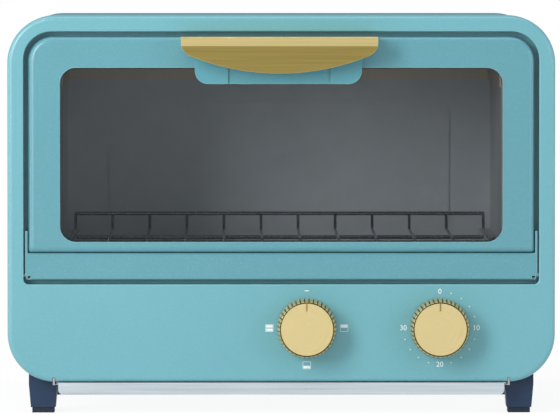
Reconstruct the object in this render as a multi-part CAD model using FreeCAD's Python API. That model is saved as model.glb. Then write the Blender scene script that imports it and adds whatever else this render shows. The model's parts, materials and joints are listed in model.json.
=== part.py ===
import FreeCAD, Part
import math
import os

# A two-slice toaster oven with a drop-down glass door and its controls under the door.
# Millimetres. +X is the user's right, +Y runs from the door to the back, +Z is up.
# The origin is the centre of the overall footprint, on the surface the feet stand on.

V = FreeCAD.Vector

# ---- case ----
case_width = 330.0
case_height = 221.0
case_depth = 210.0
foot_height = 19.3
case_corner = 29.0
frame_depth = 12.0
frame_wall = 1.2
frame_edge = 3.0
case_sheet = 0.8
case_overlap = 4.0
rear_flange = 9.0
base_sheet = 1.0
base_side_gap = 2.0
base_lap = 16.0
base_well_margin = 6.0
base_well_setback = 4.0
base_well_end = 8.0
case_screw_inset = 46.0
case_screw_head = 5.0
case_screw_head_height = 1.2
case_screw_length = 6.0
top_screw_inset = 72.6
side_vent_depth = 63.0
side_vent_length = 44.0
side_vent_gap = 12.0
side_vent_pitch = 9.0
side_vent_rows = 4
back_vent_length = 48.0
back_vent_spacing = 66.0
back_vent_pitch = 9.0
back_vent_rows = 7
back_vent_rise = 10.0
vent_slot = 3.0

# ---- door opening and door ----
bezel_width = 9.8
panel_height = 59.0
opening_corner = 17.0
opening_low_corner = 3.0
opening_edge = 0.9
lip_wall = 1.4
door_gap = 2.8
door_proud = 0.5
door_sheet = 1.0
door_edge = 3.6
skin_depth = 8.5
rail_height = 16.2
rail_setback = 1.5
rail_gap = 2.7
rail_wall = 1.2
rail_notch = 2.4
rail_lap = 0.6
ear_wall = 1.4
ear_height = 29.4
ear_gap = 0.9
ear_bridge = 3.0
ear_bridge_lap = 1.5
ear_bridge_rise = 2.6
rail_edge = 1.2
skin_rail_gap = 0.3
skin_low_corner = 1.5
skin_corner_extra = 0.8
skin_low_inner_corner = 0.5
door_back = 9.5
inner_frame_sheet = 0.8
inner_frame_corner = 0.6
inner_frame_skirt = 4.0

# ---- window ----
window_side_margin = 19.1
window_top_margin = 19.0
window_corner = 9.7
window_above_rail = 6.7
gasket_sheet = 1.0
glass_thickness = 3.2
glass_margin = 2.6
gasket_inset = 0.6
clamp_inset = 1.0

# ---- hinge ----
hinge_depth = 5.0
hinge_above_panel = 5.3
hinge_pin = 3.0
running_clearance = 0.05
hinge_bracket_sheet = 1.6
hinge_bracket_gap = 0.6
hinge_bracket_setback = 0.4
hinge_bracket_below = 7.6
hinge_bracket_above = 16.0
hinge_bracket_flange = 2.2
hinge_bracket_toe = 0.6
hinge_bracket_foot = 1.2
hinge_pin_end = 1.0
hinge_pin_entry = 3.0
door_screw_length = 5.0
door_screw = 2.4
door_screw_head = 4.6
door_screw_head_height = 0.8
door_screw_pitch = 100.0
door_boss = 8.0

# ---- cavity ----
throat_depth = 10.8
throat_sheet = 1.0
throat_below_rail = 4.2
throat_lap = 1.4
throat_above_window = 4.6
throat_case_gap = 1.0
throat_low_corner = 2.0
cavity_side_gap = 0.3
cavity_back_gap = 11.0
cavity_sheet = 1.0
cavity_top_gap = 14.0
reflector_skirt = 27.3
reflector_gap = 0.3
reflector_front_gap = 0.5
bead_inset = 26.0
bead_drop = 14.0
bead_corner = 10.0
bead_depth = 1.0
floor_below_door = 1.3
crumb_slot_width = 4.0
crumb_slot_length = 26.0
crumb_slot_pitch = 15.0
crumb_slot_margin = 15.0
crumb_slot_setback = 12.0
crumb_row_gap = 14.0
crumb_rows = 3
shield_depth = 60.0
shield_foot = 10.0
shield_foot_inset = 4.0
wire_slot_length = 16.0
wire_slot_height = 14.0
wire_slot_rise = 2.0

# ---- rack ----
rack_wires = 12
rack_wire = 1.8
rack_bar = 2.4
rack_above_pin = 7.5
rack_behind_pin = 1.5
rack_back_gap = 34.0
rack_upturn = 9.8
rack_clearance = 0.3
rack_ramp = 6.0
rack_nose = 3.2
weld_sink = 0.2
ledge_height = 1.5
ledge_setback = 7.0
ledge_web = 8.0
ledge_back_gap = 1.0
drive_arm = 13.5
drive_pin = 3.0
drive_error = 0.6
drive_clearance = 0.4
yoke_sheet = 1.4
yoke_tine = 1.5
hook_sheet = 1.4
hook_eye_wall = 1.7
hook_wall_gap = 1.575
hook_pad = 9.0
hook_pad_sheet = 0.8

# ---- heaters ----
heater_tube = 9.0
heater_wall = 1.0
heater_core = 3.0
upper_heater_drop = 12.0
lower_heater_rise = 13.0
heater_front_depth = 70.0
heater_back_gap = 57.0
heater_hole_gap = 1.0
heater_overhang = 4.0
end_cap_wall = 2.0
end_cap_length = 12.0
end_cap_seat = 3.0
cap_bracket_standoff = 3.2
cap_bracket_sheet = 1.0
cap_bracket_side = 5.0
cap_bracket_rise = 3.0

# ---- handle ----
handle_centre = -1.2
handle_width = 118.0
handle_height = 22.0
handle_reach = 22.0
handle_top_gap = 0.1
handle_wall = 2.2
handle_top_wall = 2.6
handle_band = 5.3
handle_corner = 8.5
handle_side = 3.5
apron_slant = 5.5
handle_boss = 6.4
handle_boss_inset = 13.0
handle_boss_depth = 12.0
handle_boss_rise = 0.2
handle_screw_head = 4.2
handle_screw_length = 9.0
handle_screw_hole = 10.0
handle_edge = 1.0
tab_centre = -1.8
tab_side_inset = 8.75
tab_boss_gap = 0.4
tab_drop = 28.6
tab_thickness = 3.0
tab_corner = 8.0
tab_top_corner = 1.0
tab_recess_width = 62.0
tab_recess_shift = 0.6
tab_recess_corner = 2.0
tab_recess_drop = 2.0
tab_recess = 1.6

# ---- controls ----
knob_height = 32.6
timer_from_side = 69.5
control_spacing = 80.2
knob_diameter = 36.0
knob_reach = 18.0
knob_gap = 0.8
knob_taper = 1.2
knob_teeth = 40
tooth_depth = 0.9
tooth_valley = 0.32
tooth_cutter = 1.6
knob_edge = 0.8
knob_wall = 3.5
knob_hollow = 5.0
knob_boss_wall = 2.5
knob_boss_gap = 0.6
face_rim = 2.25
face_seat = 1.2
face_thickness = 1.2
pointer_length = 5.0
pointer_width = 1.5
pointer_depth = 0.5
shaft_diameter = 6.0
shaft_hole_gap = 1.0
shaft_flat = 1.0
shaft_end_gap = 2.0
shaft_flat_setback = 2.0
shaft_in_knob = 6.0
timer_can = 46.0
timer_can_depth = 26.0
timer_can_edge = 2.0
timer_shaft_depth = 18.0
timer_bore_depth = 20.0
bell_diameter = 40.0
bell_depth = 12.0
bell_sheet = 1.2
bell_edge = 6.0
bell_gap = 6.0
bell_post = 5.0
bell_post_end = 1.5
bell_nut = 8.0
bell_nut_height = 2.0
switch_width = 38.0
switch_depth = 24.0
switch_shaft_depth = 16.0
switch_bore_depth = 18.0
switch_tab = 7.0
switch_tab_sheet = 0.8
switch_tab_pitch = 6.0
switch_tab_drop = 10.0
switch_tab_width = 5.0
switch_tabs = 5
control_plate = 1.2
control_plate_gap = 1.0
control_nose = 16.0
control_pad = 8.0
control_screw = 3.0
control_screw_head = 5.4
control_screw_length = 5.0
control_screw_hole = 6.0
control_screw_gap = 0.8

# ---- crumb tray ----
tray_side_lap = 2.9
tray_sheet = 0.6
tray_height = 7.3
tray_foot_gap = 0.8
tray_fascia_sheet = 1.5
tray_low_corner = 3.0
tray_top_corner = 0.5
tray_front = 0.5
tray_back_gap = 19.5
tray_flange = 4.1
tray_flange_sheet = 0.5
tray_rib_height = 1.6
tray_rib_width = 2.0
tray_rib_inset = 20.0
tray_rib_pitch = 60.0
tray_clearance = 0.35
tray_rail_sheet = 1.2
tray_rail_leg = 4.3
tray_rail_leg_sheet = 0.6
tray_rail_gap = 2.1
rail_tab_height = 2.7
rail_tab_setback = 0.3
tray_rail_end = 4.0
tray_leg_setback = 0.6

# ---- feet ----
foot_width = 17.3
foot_length = 20.0
foot_inset = 12.5
foot_taper = 1.2
foot_setback_front = 22.5
foot_setback_rear = 23.5
foot_brim = 2.0
foot_notch = 2.2
foot_seat = 6.0
foot_seat_gap = 0.4
foot_screw_length = 11.0
pad_height = 3.3
pad_inset = 0.8
foot_screw = 4.0
foot_screw_head = 7.6

# ---- electrical ----
gland_bore = 7.2
gland_body = 12.0
gland_flange = 17.0
gland_reach = 5.0
gland_length = 14.0
gland_beside_cavity = 11.0
gland_height = 34.0
gland_flange_sheet = 2.4
gland_edge = 1.0
gland_clip_step = 1.0
wire_diameter = 2.4
wire_pitch = 3.4
wire_bend = 6.0
harness_wires = 3
harness_side_gap = 1.8
harness_rise = 1.5
harness_drop_start = 24.0
harness_drop_end = 56.0
terminal_setback = 50.0
terminal_length = 38.0
terminal_rise = 10.0
terminal_body = 15.0
terminal_height = 16.0
terminal_blade = 2.0
terminal_blade_width = 8.0
terminal_blade_pitch = 12.0
terminal_blade_margin = 2.0
thermostat_depth = 118.0
thermostat_rise = 73.0
thermostat_body = 16.0
thermostat_length = 9.0
thermostat_bulb = 6.0
thermostat_bulb_gap = 0.2
thermostat_ear = 13.0
thermostat_ear_half = 4.0
thermostat_ear_sheet = 1.0
thermostat_tab = 6.0
thermostat_tab_spread = 5.0
thermostat_tab_half = 3.0
screw_head = 6.0
screw_shank = 3.0
screw_head_height = 1.8
screw_slot = 0.8
screw_slot_share = 0.4
screw_cross_share = 0.3
back_screw_length = 6.0

running_gap = 0.3
seat_gap = 0.1
over = 1.0
near = 0.01

# ---- places that follow from the sizes above ----
front_y = (handle_reach - case_depth - gland_reach) / 2
half_case = case_width / 2
case_low = foot_height
case_high = foot_height + case_height
opening_half = half_case - bezel_width
opening_low = case_low + panel_height
opening_high = case_high - bezel_width
door_half = opening_half - door_gap
door_high = opening_high - door_gap
rail_low = opening_low + rail_gap
rail_high = rail_low + rail_height
skin_low = rail_high + skin_rail_gap
rail_half = opening_half - ear_gap - ear_wall + rail_lap
ear_outer = opening_half - ear_gap
hinge_y = front_y + hinge_depth
hinge_z = opening_low + hinge_above_panel
window_half = door_half - window_side_margin
window_low = rail_high + window_above_rail
window_high = door_high - window_top_margin
wrap_half = half_case - frame_wall
wrap_low = case_low + frame_wall
wrap_high = case_high - frame_wall
inside_low = wrap_low + case_sheet
inside_high = wrap_high - case_sheet
base_top = inside_low + base_sheet
cavity_half = window_half - cavity_side_gap
cavity_back = case_depth - cavity_back_gap
base_half = half_case - case_corner - base_side_gap
base_opening_half = base_half - base_lap
throat_low = rail_high - throat_below_rail
throat_high = window_high + throat_above_window
wall_front = throat_depth + throat_sheet
cavity_high = inside_high - cavity_top_gap
floor_top = opening_low - floor_below_door
ceiling_low = cavity_high - cavity_sheet
hook_inner = cavity_half - hook_wall_gap - hook_sheet
yoke_inner = hook_inner - drive_clearance - yoke_sheet
rack_half = yoke_inner - rack_wire / 2
rack_pitch = 2 * rack_half / (rack_wires - 1)
drive_depth = hinge_depth + drive_arm
drive_z = hinge_z + drive_arm
rack_level = drive_z + rack_above_pin
rack_front = drive_depth + rack_behind_pin
rack_back = cavity_back - rack_back_gap
ledge_high = rack_level - rack_wire / 2 - rack_clearance
ledge_start = rack_front + ledge_setback
ledge_inner = rack_half - rack_wire
upper_heater_z = ceiling_low - upper_heater_drop
lower_heater_z = floor_top + lower_heater_rise
heater_rear_depth = cavity_back - heater_back_gap
end_cap = heater_tube + 2 * end_cap_wall
timer_x = half_case - timer_from_side
selector_x = timer_x - control_spacing
knob_z = case_low + knob_height
control_depth = frame_wall + control_plate + control_plate_gap
control_screw_reach = knob_diameter / 2 - knob_wall - control_screw_gap - control_screw_head / 2
face_radius = knob_diameter / 2 - face_rim
switch_tab_depth = control_depth + switch_depth + switch_tab / 2
handle_high = door_high - handle_top_gap
handle_low = handle_high - handle_height
handle_boss_reach = handle_width / 2 - handle_boss_inset
handle_boss_z = handle_high - handle_top_wall - handle_boss / 2 + handle_boss_rise
door_corner = opening_corner - door_gap + skin_corner_extra
door_face = -door_proud
glass_front = door_face + door_sheet + gasket_sheet
glass_back = glass_front + glass_thickness
bracket_inner = opening_half + lip_wall + hinge_bracket_gap
foot_centre = half_case - foot_inset - foot_width / 2
foot_depth_rear = case_depth - foot_setback_rear
tray_top = foot_height - tray_clearance
tray_low = tray_top - tray_height
tray_end = case_depth - tray_back_gap
fascia_half = foot_centre - foot_width / 2 - tray_foot_gap
tray_half = fascia_half - tray_side_lap
tray_rail_inner = fascia_half + tray_rail_gap
gland_x = cavity_half + gland_beside_cavity
gland_z = case_low + gland_height
terminal_depth = case_depth - terminal_setback
thermostat_z = floor_top + thermostat_rise
cap_outer = cavity_half + cavity_sheet + heater_overhang + end_cap_length


# `over` is how far a cutting shape passes the surface that it cuts, and `near` is how close two
# places count as the same one when edges are picked.


def behind(distance):
    """Y of a plane this far behind the front face of the frame."""
    return front_y + distance


# ---- shape helpers ----
def box(x0, x1, y0, y1, z0, z1):
    return Part.makeBox(x1 - x0, y1 - y0, z1 - z0, V(x0, y0, z0))


def rod(radius, start, end):
    axis = end - start
    return Part.makeCylinder(radius, axis.Length, start, axis)


def rod_y(radius, x, z, y0, y1):
    return rod(radius, V(x, y0, z), V(x, y1, z))


def joined(shapes):
    """One solid from touching or crossing shapes."""
    result = shapes[0].fuse(shapes[1:])
    return result.removeSplitter()


def group(shapes):
    return Part.makeCompound(shapes)


def mirrored(shape):
    return shape.mirror(V(0, 0, 0), V(1, 0, 0))


def pair(shape):
    return group([shape, mirrored(shape)])


def arc(centre_x, centre_z, radius, start, end, y):
    """Arc in a plane of constant Y, from one angle in degrees to another."""
    points = []
    for angle in (start, (start + end) / 2, end):
        turn = math.radians(angle)
        points.append(V(centre_x + radius * math.cos(turn), y, centre_z + radius * math.sin(turn)))
    return Part.Arc(points[0], points[1], points[2]).toShape()


def closed_face(points):
    return Part.Face(Part.makePolygon(points + [points[0]]))


def rounded_face(x0, x1, z0, z1, low, high, y):
    """Rectangle in a plane of constant Y with its own corner radius at the bottom and at the top."""
    corners = [
        (x1 - low, z0 + low, low, -90),
        (x1 - high, z1 - high, high, 0),
        (x0 + high, z1 - high, high, 90),
        (x0 + low, z0 + low, low, 180),
    ]
    edges = []
    ends = []
    for centre_x, centre_z, radius, start in corners:
        first = math.radians(start)
        last = math.radians(start + 90)
        begin = V(centre_x + radius * math.cos(first), y, centre_z + radius * math.sin(first))
        finish = V(centre_x + radius * math.cos(last), y, centre_z + radius * math.sin(last))
        ends.append((begin, finish))
        if radius > 0:
            edges.append(arc(centre_x, centre_z, radius, start, start + 90, y))
    for index in range(len(ends)):
        leave = ends[index][1]
        arrive = ends[(index + 1) % len(ends)][0]
        edges.append(Part.makeLine(leave, arrive))
    return Part.Face(Part.Wire(Part.__sortEdges__(edges)))


def rounded_block(half, z0, z1, low, high, y0, y1, centre=0.0):
    face = rounded_face(centre - half, centre + half, z0, z1, low, high, y0)
    return face.extrude(V(0, y1 - y0, 0))


def edges_at_y(shape, y):
    chosen = []
    for edge in shape.Edges:
        limits = edge.BoundBox
        if abs(limits.YMin - y) < near and abs(limits.YMax - y) < near:
            chosen.append(edge)
    return chosen


def softened(shape, y, radius):
    """Rounds the edges that lie in one plane of constant Y."""
    return shape.makeFillet(radius, edges_at_y(shape, y))


def screw_y(
    x, z, face_y, length, direction, shank=screw_shank, head=screw_head, head_height=screw_head_height
):
    """Pan-head screw along Y: its head stands out of face_y against the driving direction."""
    head_end = face_y - direction * head_height
    shank_end = face_y + direction * length
    cap = rod_y(head / 2, x, z, min(face_y, head_end), max(face_y, head_end))
    cap = softened(cap, head_end, head_height / 2)
    stem = rod_y(shank / 2, x, z, min(face_y, shank_end), max(face_y, shank_end))
    sink = head_height * screw_slot_share
    half = screw_slot / 2
    slot = box(x - head, x + head, head_end - sink, head_end + sink, z - half, z + half)
    cross = box(x - half, x + half, head_end - sink, head_end + sink, z - head, z + head)
    reach = rod_y(head * screw_cross_share, x, z, head_end - over, head_end + over)
    return joined([cap, stem]).cut(slot.fuse(cross).common(reach))


def screw_z(x, y, face_z, length, shank, head, head_height=screw_head_height):
    """Pan-head screw driven up along +Z, its head below face_z."""
    cap = rod(head / 2, V(x, y, face_z - head_height), V(x, y, face_z))
    stem = rod(shank / 2, V(x, y, face_z), V(x, y, face_z + length))
    slot_low = face_z - head_height
    sink = head_height * screw_slot_share
    half = screw_slot / 2
    slot = box(x - head, x + head, y - half, y + half, slot_low - sink, slot_low + sink)
    return joined([cap, stem]).cut(slot)


# ---- case parts ----
def opening_block(y0, y1, grow=0.0):
    return rounded_block(
        opening_half + grow,
        opening_low - grow,
        opening_high + grow,
        opening_low_corner + grow,
        opening_corner + grow,
        y0,
        y1,
    )


def case_block(inset, y0, y1):
    return rounded_block(
        half_case - inset,
        case_low + inset,
        case_high - inset,
        case_corner - inset,
        case_corner - inset,
        y0,
        y1,
    )


def tray_rail_slots():
    """Slots in the frame's bottom edge and the case that let the tray rails' front tabs through."""
    slot = box(
        tray_rail_inner - running_gap,
        tray_rail_inner + tray_rail_sheet + running_gap,
        behind(-over),
        behind(frame_depth + over),
        case_low - over,
        case_low + rail_tab_height + running_gap,
    )
    return pair(slot)


def front_frame():
    outer = case_block(0, behind(0), behind(frame_depth))
    outer = softened(outer, behind(0), frame_edge)
    inner = case_block(frame_wall, behind(frame_wall), behind(frame_depth + over))
    inner = softened(inner, behind(frame_wall), frame_edge - frame_wall)
    shell = outer.cut(inner)
    shell = shell.cut(opening_block(behind(-over), behind(frame_depth + over)))
    shell = softened_opening(shell)
    lip = opening_block(behind(frame_wall), behind(throat_depth), lip_wall)
    lip = lip.cut(opening_block(behind(0), behind(frame_depth)))
    shell = joined([shell, lip])
    pin_hole = hinge_pin / 2 + running_gap
    cuts = [
        rod(pin_hole, V(-bracket_inner, hinge_y, hinge_z), V(bracket_inner, hinge_y, hinge_z)),
    ]
    for x in (timer_x, selector_x):
        hole = shaft_diameter / 2 + shaft_hole_gap
        cuts.append(rod_y(hole, x, knob_z, behind(-over), behind(frame_wall + over)))
        for side in (-1, 1):
            screw_x = x + side * control_screw_reach
            cuts.append(rod_y(control_screw / 2, screw_x, knob_z, behind(-over), behind(frame_wall + over)))
    for cut in cuts:
        shell = shell.cut(cut)
    return shell.cut(tray_rail_slots())


def softened_opening(shell):
    """Rounds the front edge of the door opening."""
    edges = []
    for edge in edges_at_y(shell, behind(0)):
        limits = edge.BoundBox
        inside_x = max(abs(limits.XMin), abs(limits.XMax)) < opening_half + near
        inside_z = limits.ZMin > opening_low - near and limits.ZMax < opening_high + near
        if inside_x and inside_z:
            edges.append(edge)
    return shell.makeFillet(opening_edge, edges)


def side_vents():
    """Rounded slots along Y, in rows above one another, through the right-hand side of the case."""
    inner = wrap_half - case_sheet - over
    outer = wrap_half + over
    half = vent_slot / 2
    slots = []
    for row in range(side_vent_rows):
        z = knob_z + row * side_vent_pitch
        for column in range(2):
            y0 = behind(side_vent_depth + column * (side_vent_length + side_vent_gap))
            y1 = y0 + side_vent_length
            body = box(inner, outer, y0, y1, z - half, z + half)
            ends = [rod(half, V(inner, y, z), V(outer, y, z)) for y in (y0, y1)]
            slots.append(joined([body] + ends))
    return group(slots)


def outer_case():
    start = behind(frame_depth - case_overlap)
    end = behind(case_depth)
    wrap = case_block(frame_wall, start, end)
    hollow = case_block(frame_wall + case_sheet, start - over, end - case_sheet)
    wrap = wrap.cut(hollow)
    rear_hole = case_block(frame_wall + rear_flange, end - case_sheet - over, end + over)
    wrap = wrap.cut(rear_hole)
    bottom = box(
        -base_opening_half,
        base_opening_half,
        start - over,
        end - case_sheet,
        wrap_low - over,
        inside_low,
    )
    wrap = wrap.cut(bottom)
    wrap = wrap.cut(tray_rail_slots())
    wrap = wrap.cut(pair(side_vents()))
    holes = []
    for x, z in back_screw_places():
        holes.append(rod_y(screw_shank / 2, x, z, end - case_sheet - over, end + over))
    for x, y in foot_places():
        holes.append(rod(foot_screw / 2, V(x, y, wrap_low - over), V(x, y, case_low + case_corner)))
    return wrap.cut(group(holes + case_screw_holes()))


def back_screw_places():
    inset = frame_wall + rear_flange / 2
    x = half_case - inset
    upper = case_high - case_corner
    lower = case_low + case_corner
    places = []
    for side in (-1, 1):
        places.append((side * x, upper))
        places.append((side * x, lower))
        places.append((side * (half_case - top_screw_inset), case_high - inset))
    return places


def case_screw_places():
    x = (base_opening_half + base_half) / 2
    depths = (case_screw_inset, case_depth - case_screw_inset)
    return [(side * x, behind(depth)) for side in (-1, 1) for depth in depths]


def case_screw_holes():
    radius = screw_shank / 2
    places = case_screw_places()
    return [rod(radius, V(x, y, wrap_low - over), V(x, y, base_top + over)) for x, y in places]


def foot_places():
    places = []
    for side in (-1, 1):
        for depth in (foot_setback_front, foot_depth_rear):
            places.append((side * foot_centre, behind(depth)))
    return places


def back_panel():
    rear = behind(case_depth - case_sheet)
    gap = frame_wall + case_sheet + running_gap
    panel = case_block(gap, rear - base_sheet, rear)
    front = rear - base_sheet - over
    end = rear + over
    cuts = [rod_y(gland_body / 2, gland_x, gland_z, front, end)]
    for x, z in back_screw_places():
        cuts.append(rod_y(screw_shank / 2, x, z, front, end))
    half = vent_slot / 2
    reach = back_vent_length / 2
    for row in range(back_vent_rows):
        z = knob_z + back_vent_rise + row * back_vent_pitch
        for column in (-1, 0, 1):
            centre = column * back_vent_spacing
            slot = box(centre - reach, centre + reach, front, end, z - half, z + half)
            ends = [rod_y(half, centre + side * reach, z, front, end) for side in (-1, 1)]
            cuts.append(joined([slot] + ends))
    return panel.cut(group(cuts))


def base_plate():
    rear = behind(case_depth - case_sheet - base_sheet)
    half = base_half
    plate = box(-half, half, behind(frame_wall + running_gap), rear, inside_low, base_top)
    well_half = base_opening_half - base_well_margin
    well = box(
        -well_half,
        well_half,
        behind(shield_depth + base_well_setback),
        behind(tray_end - base_well_end),
        inside_low - over,
        base_top + over,
    )
    return plate.cut(group([well] + case_screw_holes()))


def case_screws():
    screws = []
    for x, y in case_screw_places():
        screws.append(
            screw_z(
                x, y, wrap_low, case_screw_length, screw_shank, case_screw_head, case_screw_head_height
            )
        )
    return group(screws)


def back_panel_screws():
    screws = []
    for x, z in back_screw_places():
        screws.append(screw_y(x, z, behind(case_depth), back_screw_length, -1))
    return group(screws)


# ---- cavity ----
def throat_frame():
    """Flat ring behind the door that joins the frame's lip to the cavity walls."""
    y0 = behind(throat_depth)
    y1 = y0 + throat_sheet
    gap = frame_wall + case_sheet + throat_case_gap
    outer_low = opening_low - lip_wall - throat_lap
    outer = rounded_block(
        half_case - gap,
        outer_low,
        case_high - gap,
        throat_low_corner,
        case_corner - gap,
        y0,
        y1,
    )
    hole = box(-cavity_half, cavity_half, y0 - over, y1 + over, throat_low, throat_high)
    return outer.cut(hole)


def heater_places():
    places = []
    for z in (upper_heater_z, lower_heater_z):
        for depth in (heater_front_depth, heater_rear_depth):
            places.append((behind(depth), z))
    return places


def heater_holes(margin):
    radius = heater_tube / 2 + margin
    reach = cavity_half + cavity_sheet + over
    return [rod(radius, V(-reach, y, z), V(reach, y, z)) for y, z in heater_places()]


def cavity_wall():
    wall = box(
        cavity_half,
        cavity_half + cavity_sheet,
        behind(wall_front),
        behind(cavity_back),
        base_top,
        cavity_high,
    )
    wire_slot = box(
        cavity_half - over,
        cavity_half + cavity_sheet + over,
        behind(switch_tab_depth - wire_slot_length / 2),
        behind(switch_tab_depth + wire_slot_length / 2),
        base_top + wire_slot_rise,
        base_top + wire_slot_rise + wire_slot_height,
    )
    bulb_hole = rod(
        thermostat_bulb / 2 + thermostat_bulb_gap,
        V(cavity_half - over, behind(thermostat_depth), thermostat_z),
        V(cavity_half + cavity_sheet + over, behind(thermostat_depth), thermostat_z),
    )
    return wall.cut(group(heater_holes(heater_hole_gap) + [wire_slot, bulb_hole]))


def cavity_right_wall():
    return cavity_wall()


def cavity_left_wall():
    return mirrored(cavity_wall())


def cavity_back_wall():
    half = cavity_half + cavity_sheet
    wall = box(-half, half, behind(cavity_back), behind(cavity_back + cavity_sheet), base_top, cavity_high)
    bead = back_bead(0, behind(cavity_back - bead_depth), behind(cavity_back))
    hollow = back_bead(cavity_sheet, behind(cavity_back), behind(cavity_back + cavity_sheet + over))
    return joined([wall, bead]).cut(hollow)


def back_bead(inset, y0, y1):
    """Pressed field that stiffens the back wall, each side drawn in by inset."""
    return rounded_block(
        cavity_half - bead_inset - inset,
        floor_top + bead_inset + inset,
        cavity_high - reflector_skirt - bead_drop - inset,
        bead_corner - inset,
        bead_corner - inset,
        y0,
        y1,
    )


def upper_reflector():
    """Ceiling pan whose skirt hangs inside the cavity walls."""
    side = cavity_half - reflector_gap
    back = behind(cavity_back - reflector_gap)
    front = behind(wall_front)
    low = cavity_high - reflector_skirt
    pan = box(-side, side, front, back, low, cavity_high)
    inner = box(
        -side + cavity_sheet,
        side - cavity_sheet,
        front + cavity_sheet,
        back - cavity_sheet,
        low - over,
        ceiling_low,
    )
    pan = pan.cut(inner)
    front_cut = box(
        -side - over,
        side + over,
        front - over,
        front + cavity_sheet + reflector_front_gap,
        low - over,
        throat_high,
    )
    pan = pan.cut(front_cut)
    return pan.cut(group(heater_holes(heater_hole_gap)))


def cavity_floor():
    side = cavity_half - reflector_gap
    plate = box(
        -side,
        side,
        behind(wall_front),
        behind(cavity_back),
        floor_top - cavity_sheet,
        floor_top,
    )
    slots = []
    columns = int(2 * (side - crumb_slot_margin) / crumb_slot_pitch)
    first = -(columns - 1) * crumb_slot_pitch / 2
    for row in range(crumb_rows):
        y0 = behind(shield_depth + crumb_slot_setback + row * (crumb_slot_length + crumb_row_gap))
        for column in range(columns):
            x = first + column * crumb_slot_pitch
            slots.append(
                box(
                    x - crumb_slot_width / 2,
                    x + crumb_slot_width / 2,
                    y0,
                    y0 + crumb_slot_length,
                    floor_top - cavity_sheet - over,
                    floor_top + over,
                )
            )
    return plate.cut(group(slots))


def control_heat_shield():
    side = cavity_half - reflector_gap
    y0 = behind(shield_depth)
    upright = box(-side, side, y0, y0 + cavity_sheet, base_top, floor_top - cavity_sheet)
    foot_half = side - shield_foot_inset
    flange = box(-foot_half, foot_half, y0 - shield_foot, y0, base_top, base_top + cavity_sheet)
    return joined([upright, flange])


# ---- rack, its ledges and its drive ----
def rack_rails():
    ledge = box(
        ledge_inner,
        cavity_half,
        behind(ledge_start),
        behind(cavity_back - ledge_back_gap),
        ledge_high - ledge_height,
        ledge_high,
    )
    web = box(
        cavity_half - ledge_height,
        cavity_half,
        behind(ledge_start),
        behind(cavity_back - ledge_back_gap),
        ledge_high - ledge_web,
        ledge_high,
    )
    return pair(joined([ledge, web]))


def wire_path(points, diameter):
    """Wire bent through points: straight rods with a ball at each bend."""
    solids = []
    for index in range(len(points) - 1):
        solids.append(rod(diameter / 2, points[index], points[index + 1]))
    for point in points[1:-1]:
        solids.append(Part.makeSphere(diameter / 2, point))
    return solids


def wire_rack():
    """Twelve wires over three cross bars: dropped ends in front, turned up at the back."""
    bar_y = behind(rack_front)
    end_y = behind(rack_back)
    nose_y = bar_y - (rack_bar + rack_wire) / 2
    bar_z = rack_level - (rack_wire + rack_bar) / 2 + weld_sink
    high = rack_level + rack_upturn
    solids = []
    for index in range(rack_wires):
        x = -rack_half + index * rack_pitch
        points = [V(x, nose_y, rack_level), V(x, end_y - rack_ramp, rack_level), V(x, end_y, high)]
        if 0 < index < rack_wires - 1:
            points = [V(x, nose_y, rack_level - rack_nose)] + points
        solids += wire_path(points, rack_wire)
    reach = rack_half + (rack_wire - rack_bar) / 2
    middle = ledge_inner - rack_clearance - rack_bar / 2
    middle_y = (bar_y + end_y) / 2
    for half, y, z in ((reach, bar_y, bar_z), (middle, middle_y, bar_z), (reach, end_y, high)):
        solids.append(rod(rack_bar / 2, V(-half, y, z), V(half, y, z)))
        solids.append(Part.makeSphere(rack_bar / 2, V(-half, y, z)))
        solids.append(Part.makeSphere(rack_bar / 2, V(half, y, z)))
    return solids[0].fuse(solids[1:])


def rack_yokes():
    """Forks on the rack's front corners, open downwards, that the door's hook pins move in."""
    pin_y = behind(drive_depth)
    slot_half = drive_pin / 2 + drive_error + drive_clearance
    swing = drive_arm * (math.sqrt(2) - over)
    low = drive_z - drive_pin / 2 - drive_error
    slot_high = drive_z + swing + drive_pin / 2 + drive_error
    high = slot_high + yoke_tine
    plate = box(
        yoke_inner,
        yoke_inner + yoke_sheet,
        pin_y - slot_half - yoke_tine,
        pin_y + slot_half + yoke_tine,
        low,
        high,
    )
    slot = box(
        yoke_inner - over,
        hook_inner,
        pin_y - slot_half,
        pin_y + slot_half,
        low - over,
        slot_high,
    )
    return pair(plate.cut(slot))


def rack_hooks():
    """Arms behind the door that carry the pins of the rack drive."""
    pin_y = behind(drive_depth)
    face_y = behind(door_back)
    radius = drive_pin / 2 + hook_eye_wall
    outer = hook_inner + hook_sheet
    eye = rod(radius, V(hook_inner, pin_y, drive_z), V(outer, pin_y, drive_z))
    arm = box(hook_inner, outer, face_y, pin_y, drive_z - radius, drive_z + radius)
    pin = rod(drive_pin / 2, V(yoke_inner + running_gap, pin_y, drive_z), V(outer, pin_y, drive_z))
    pad = box(
        hook_inner - hook_pad,
        outer,
        face_y,
        face_y + hook_pad_sheet,
        drive_z - radius,
        drive_z + radius,
    )
    return pair(joined([eye, arm, pin, pad]))


# ---- heaters ----
def heater(y, z):
    end = cavity_half + cavity_sheet + heater_overhang
    tube = rod(heater_tube / 2, V(-end, y, z), V(end, y, z))
    bore = rod(heater_tube / 2 - heater_wall, V(-end - over, y, z), V(end + over, y, z))
    return tube.cut(bore)


def heater_cores():
    end = cap_outer - end_cap_seat
    return group([rod(heater_core / 2, V(-end, y, z), V(end, y, z)) for y, z in heater_places()])


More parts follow.
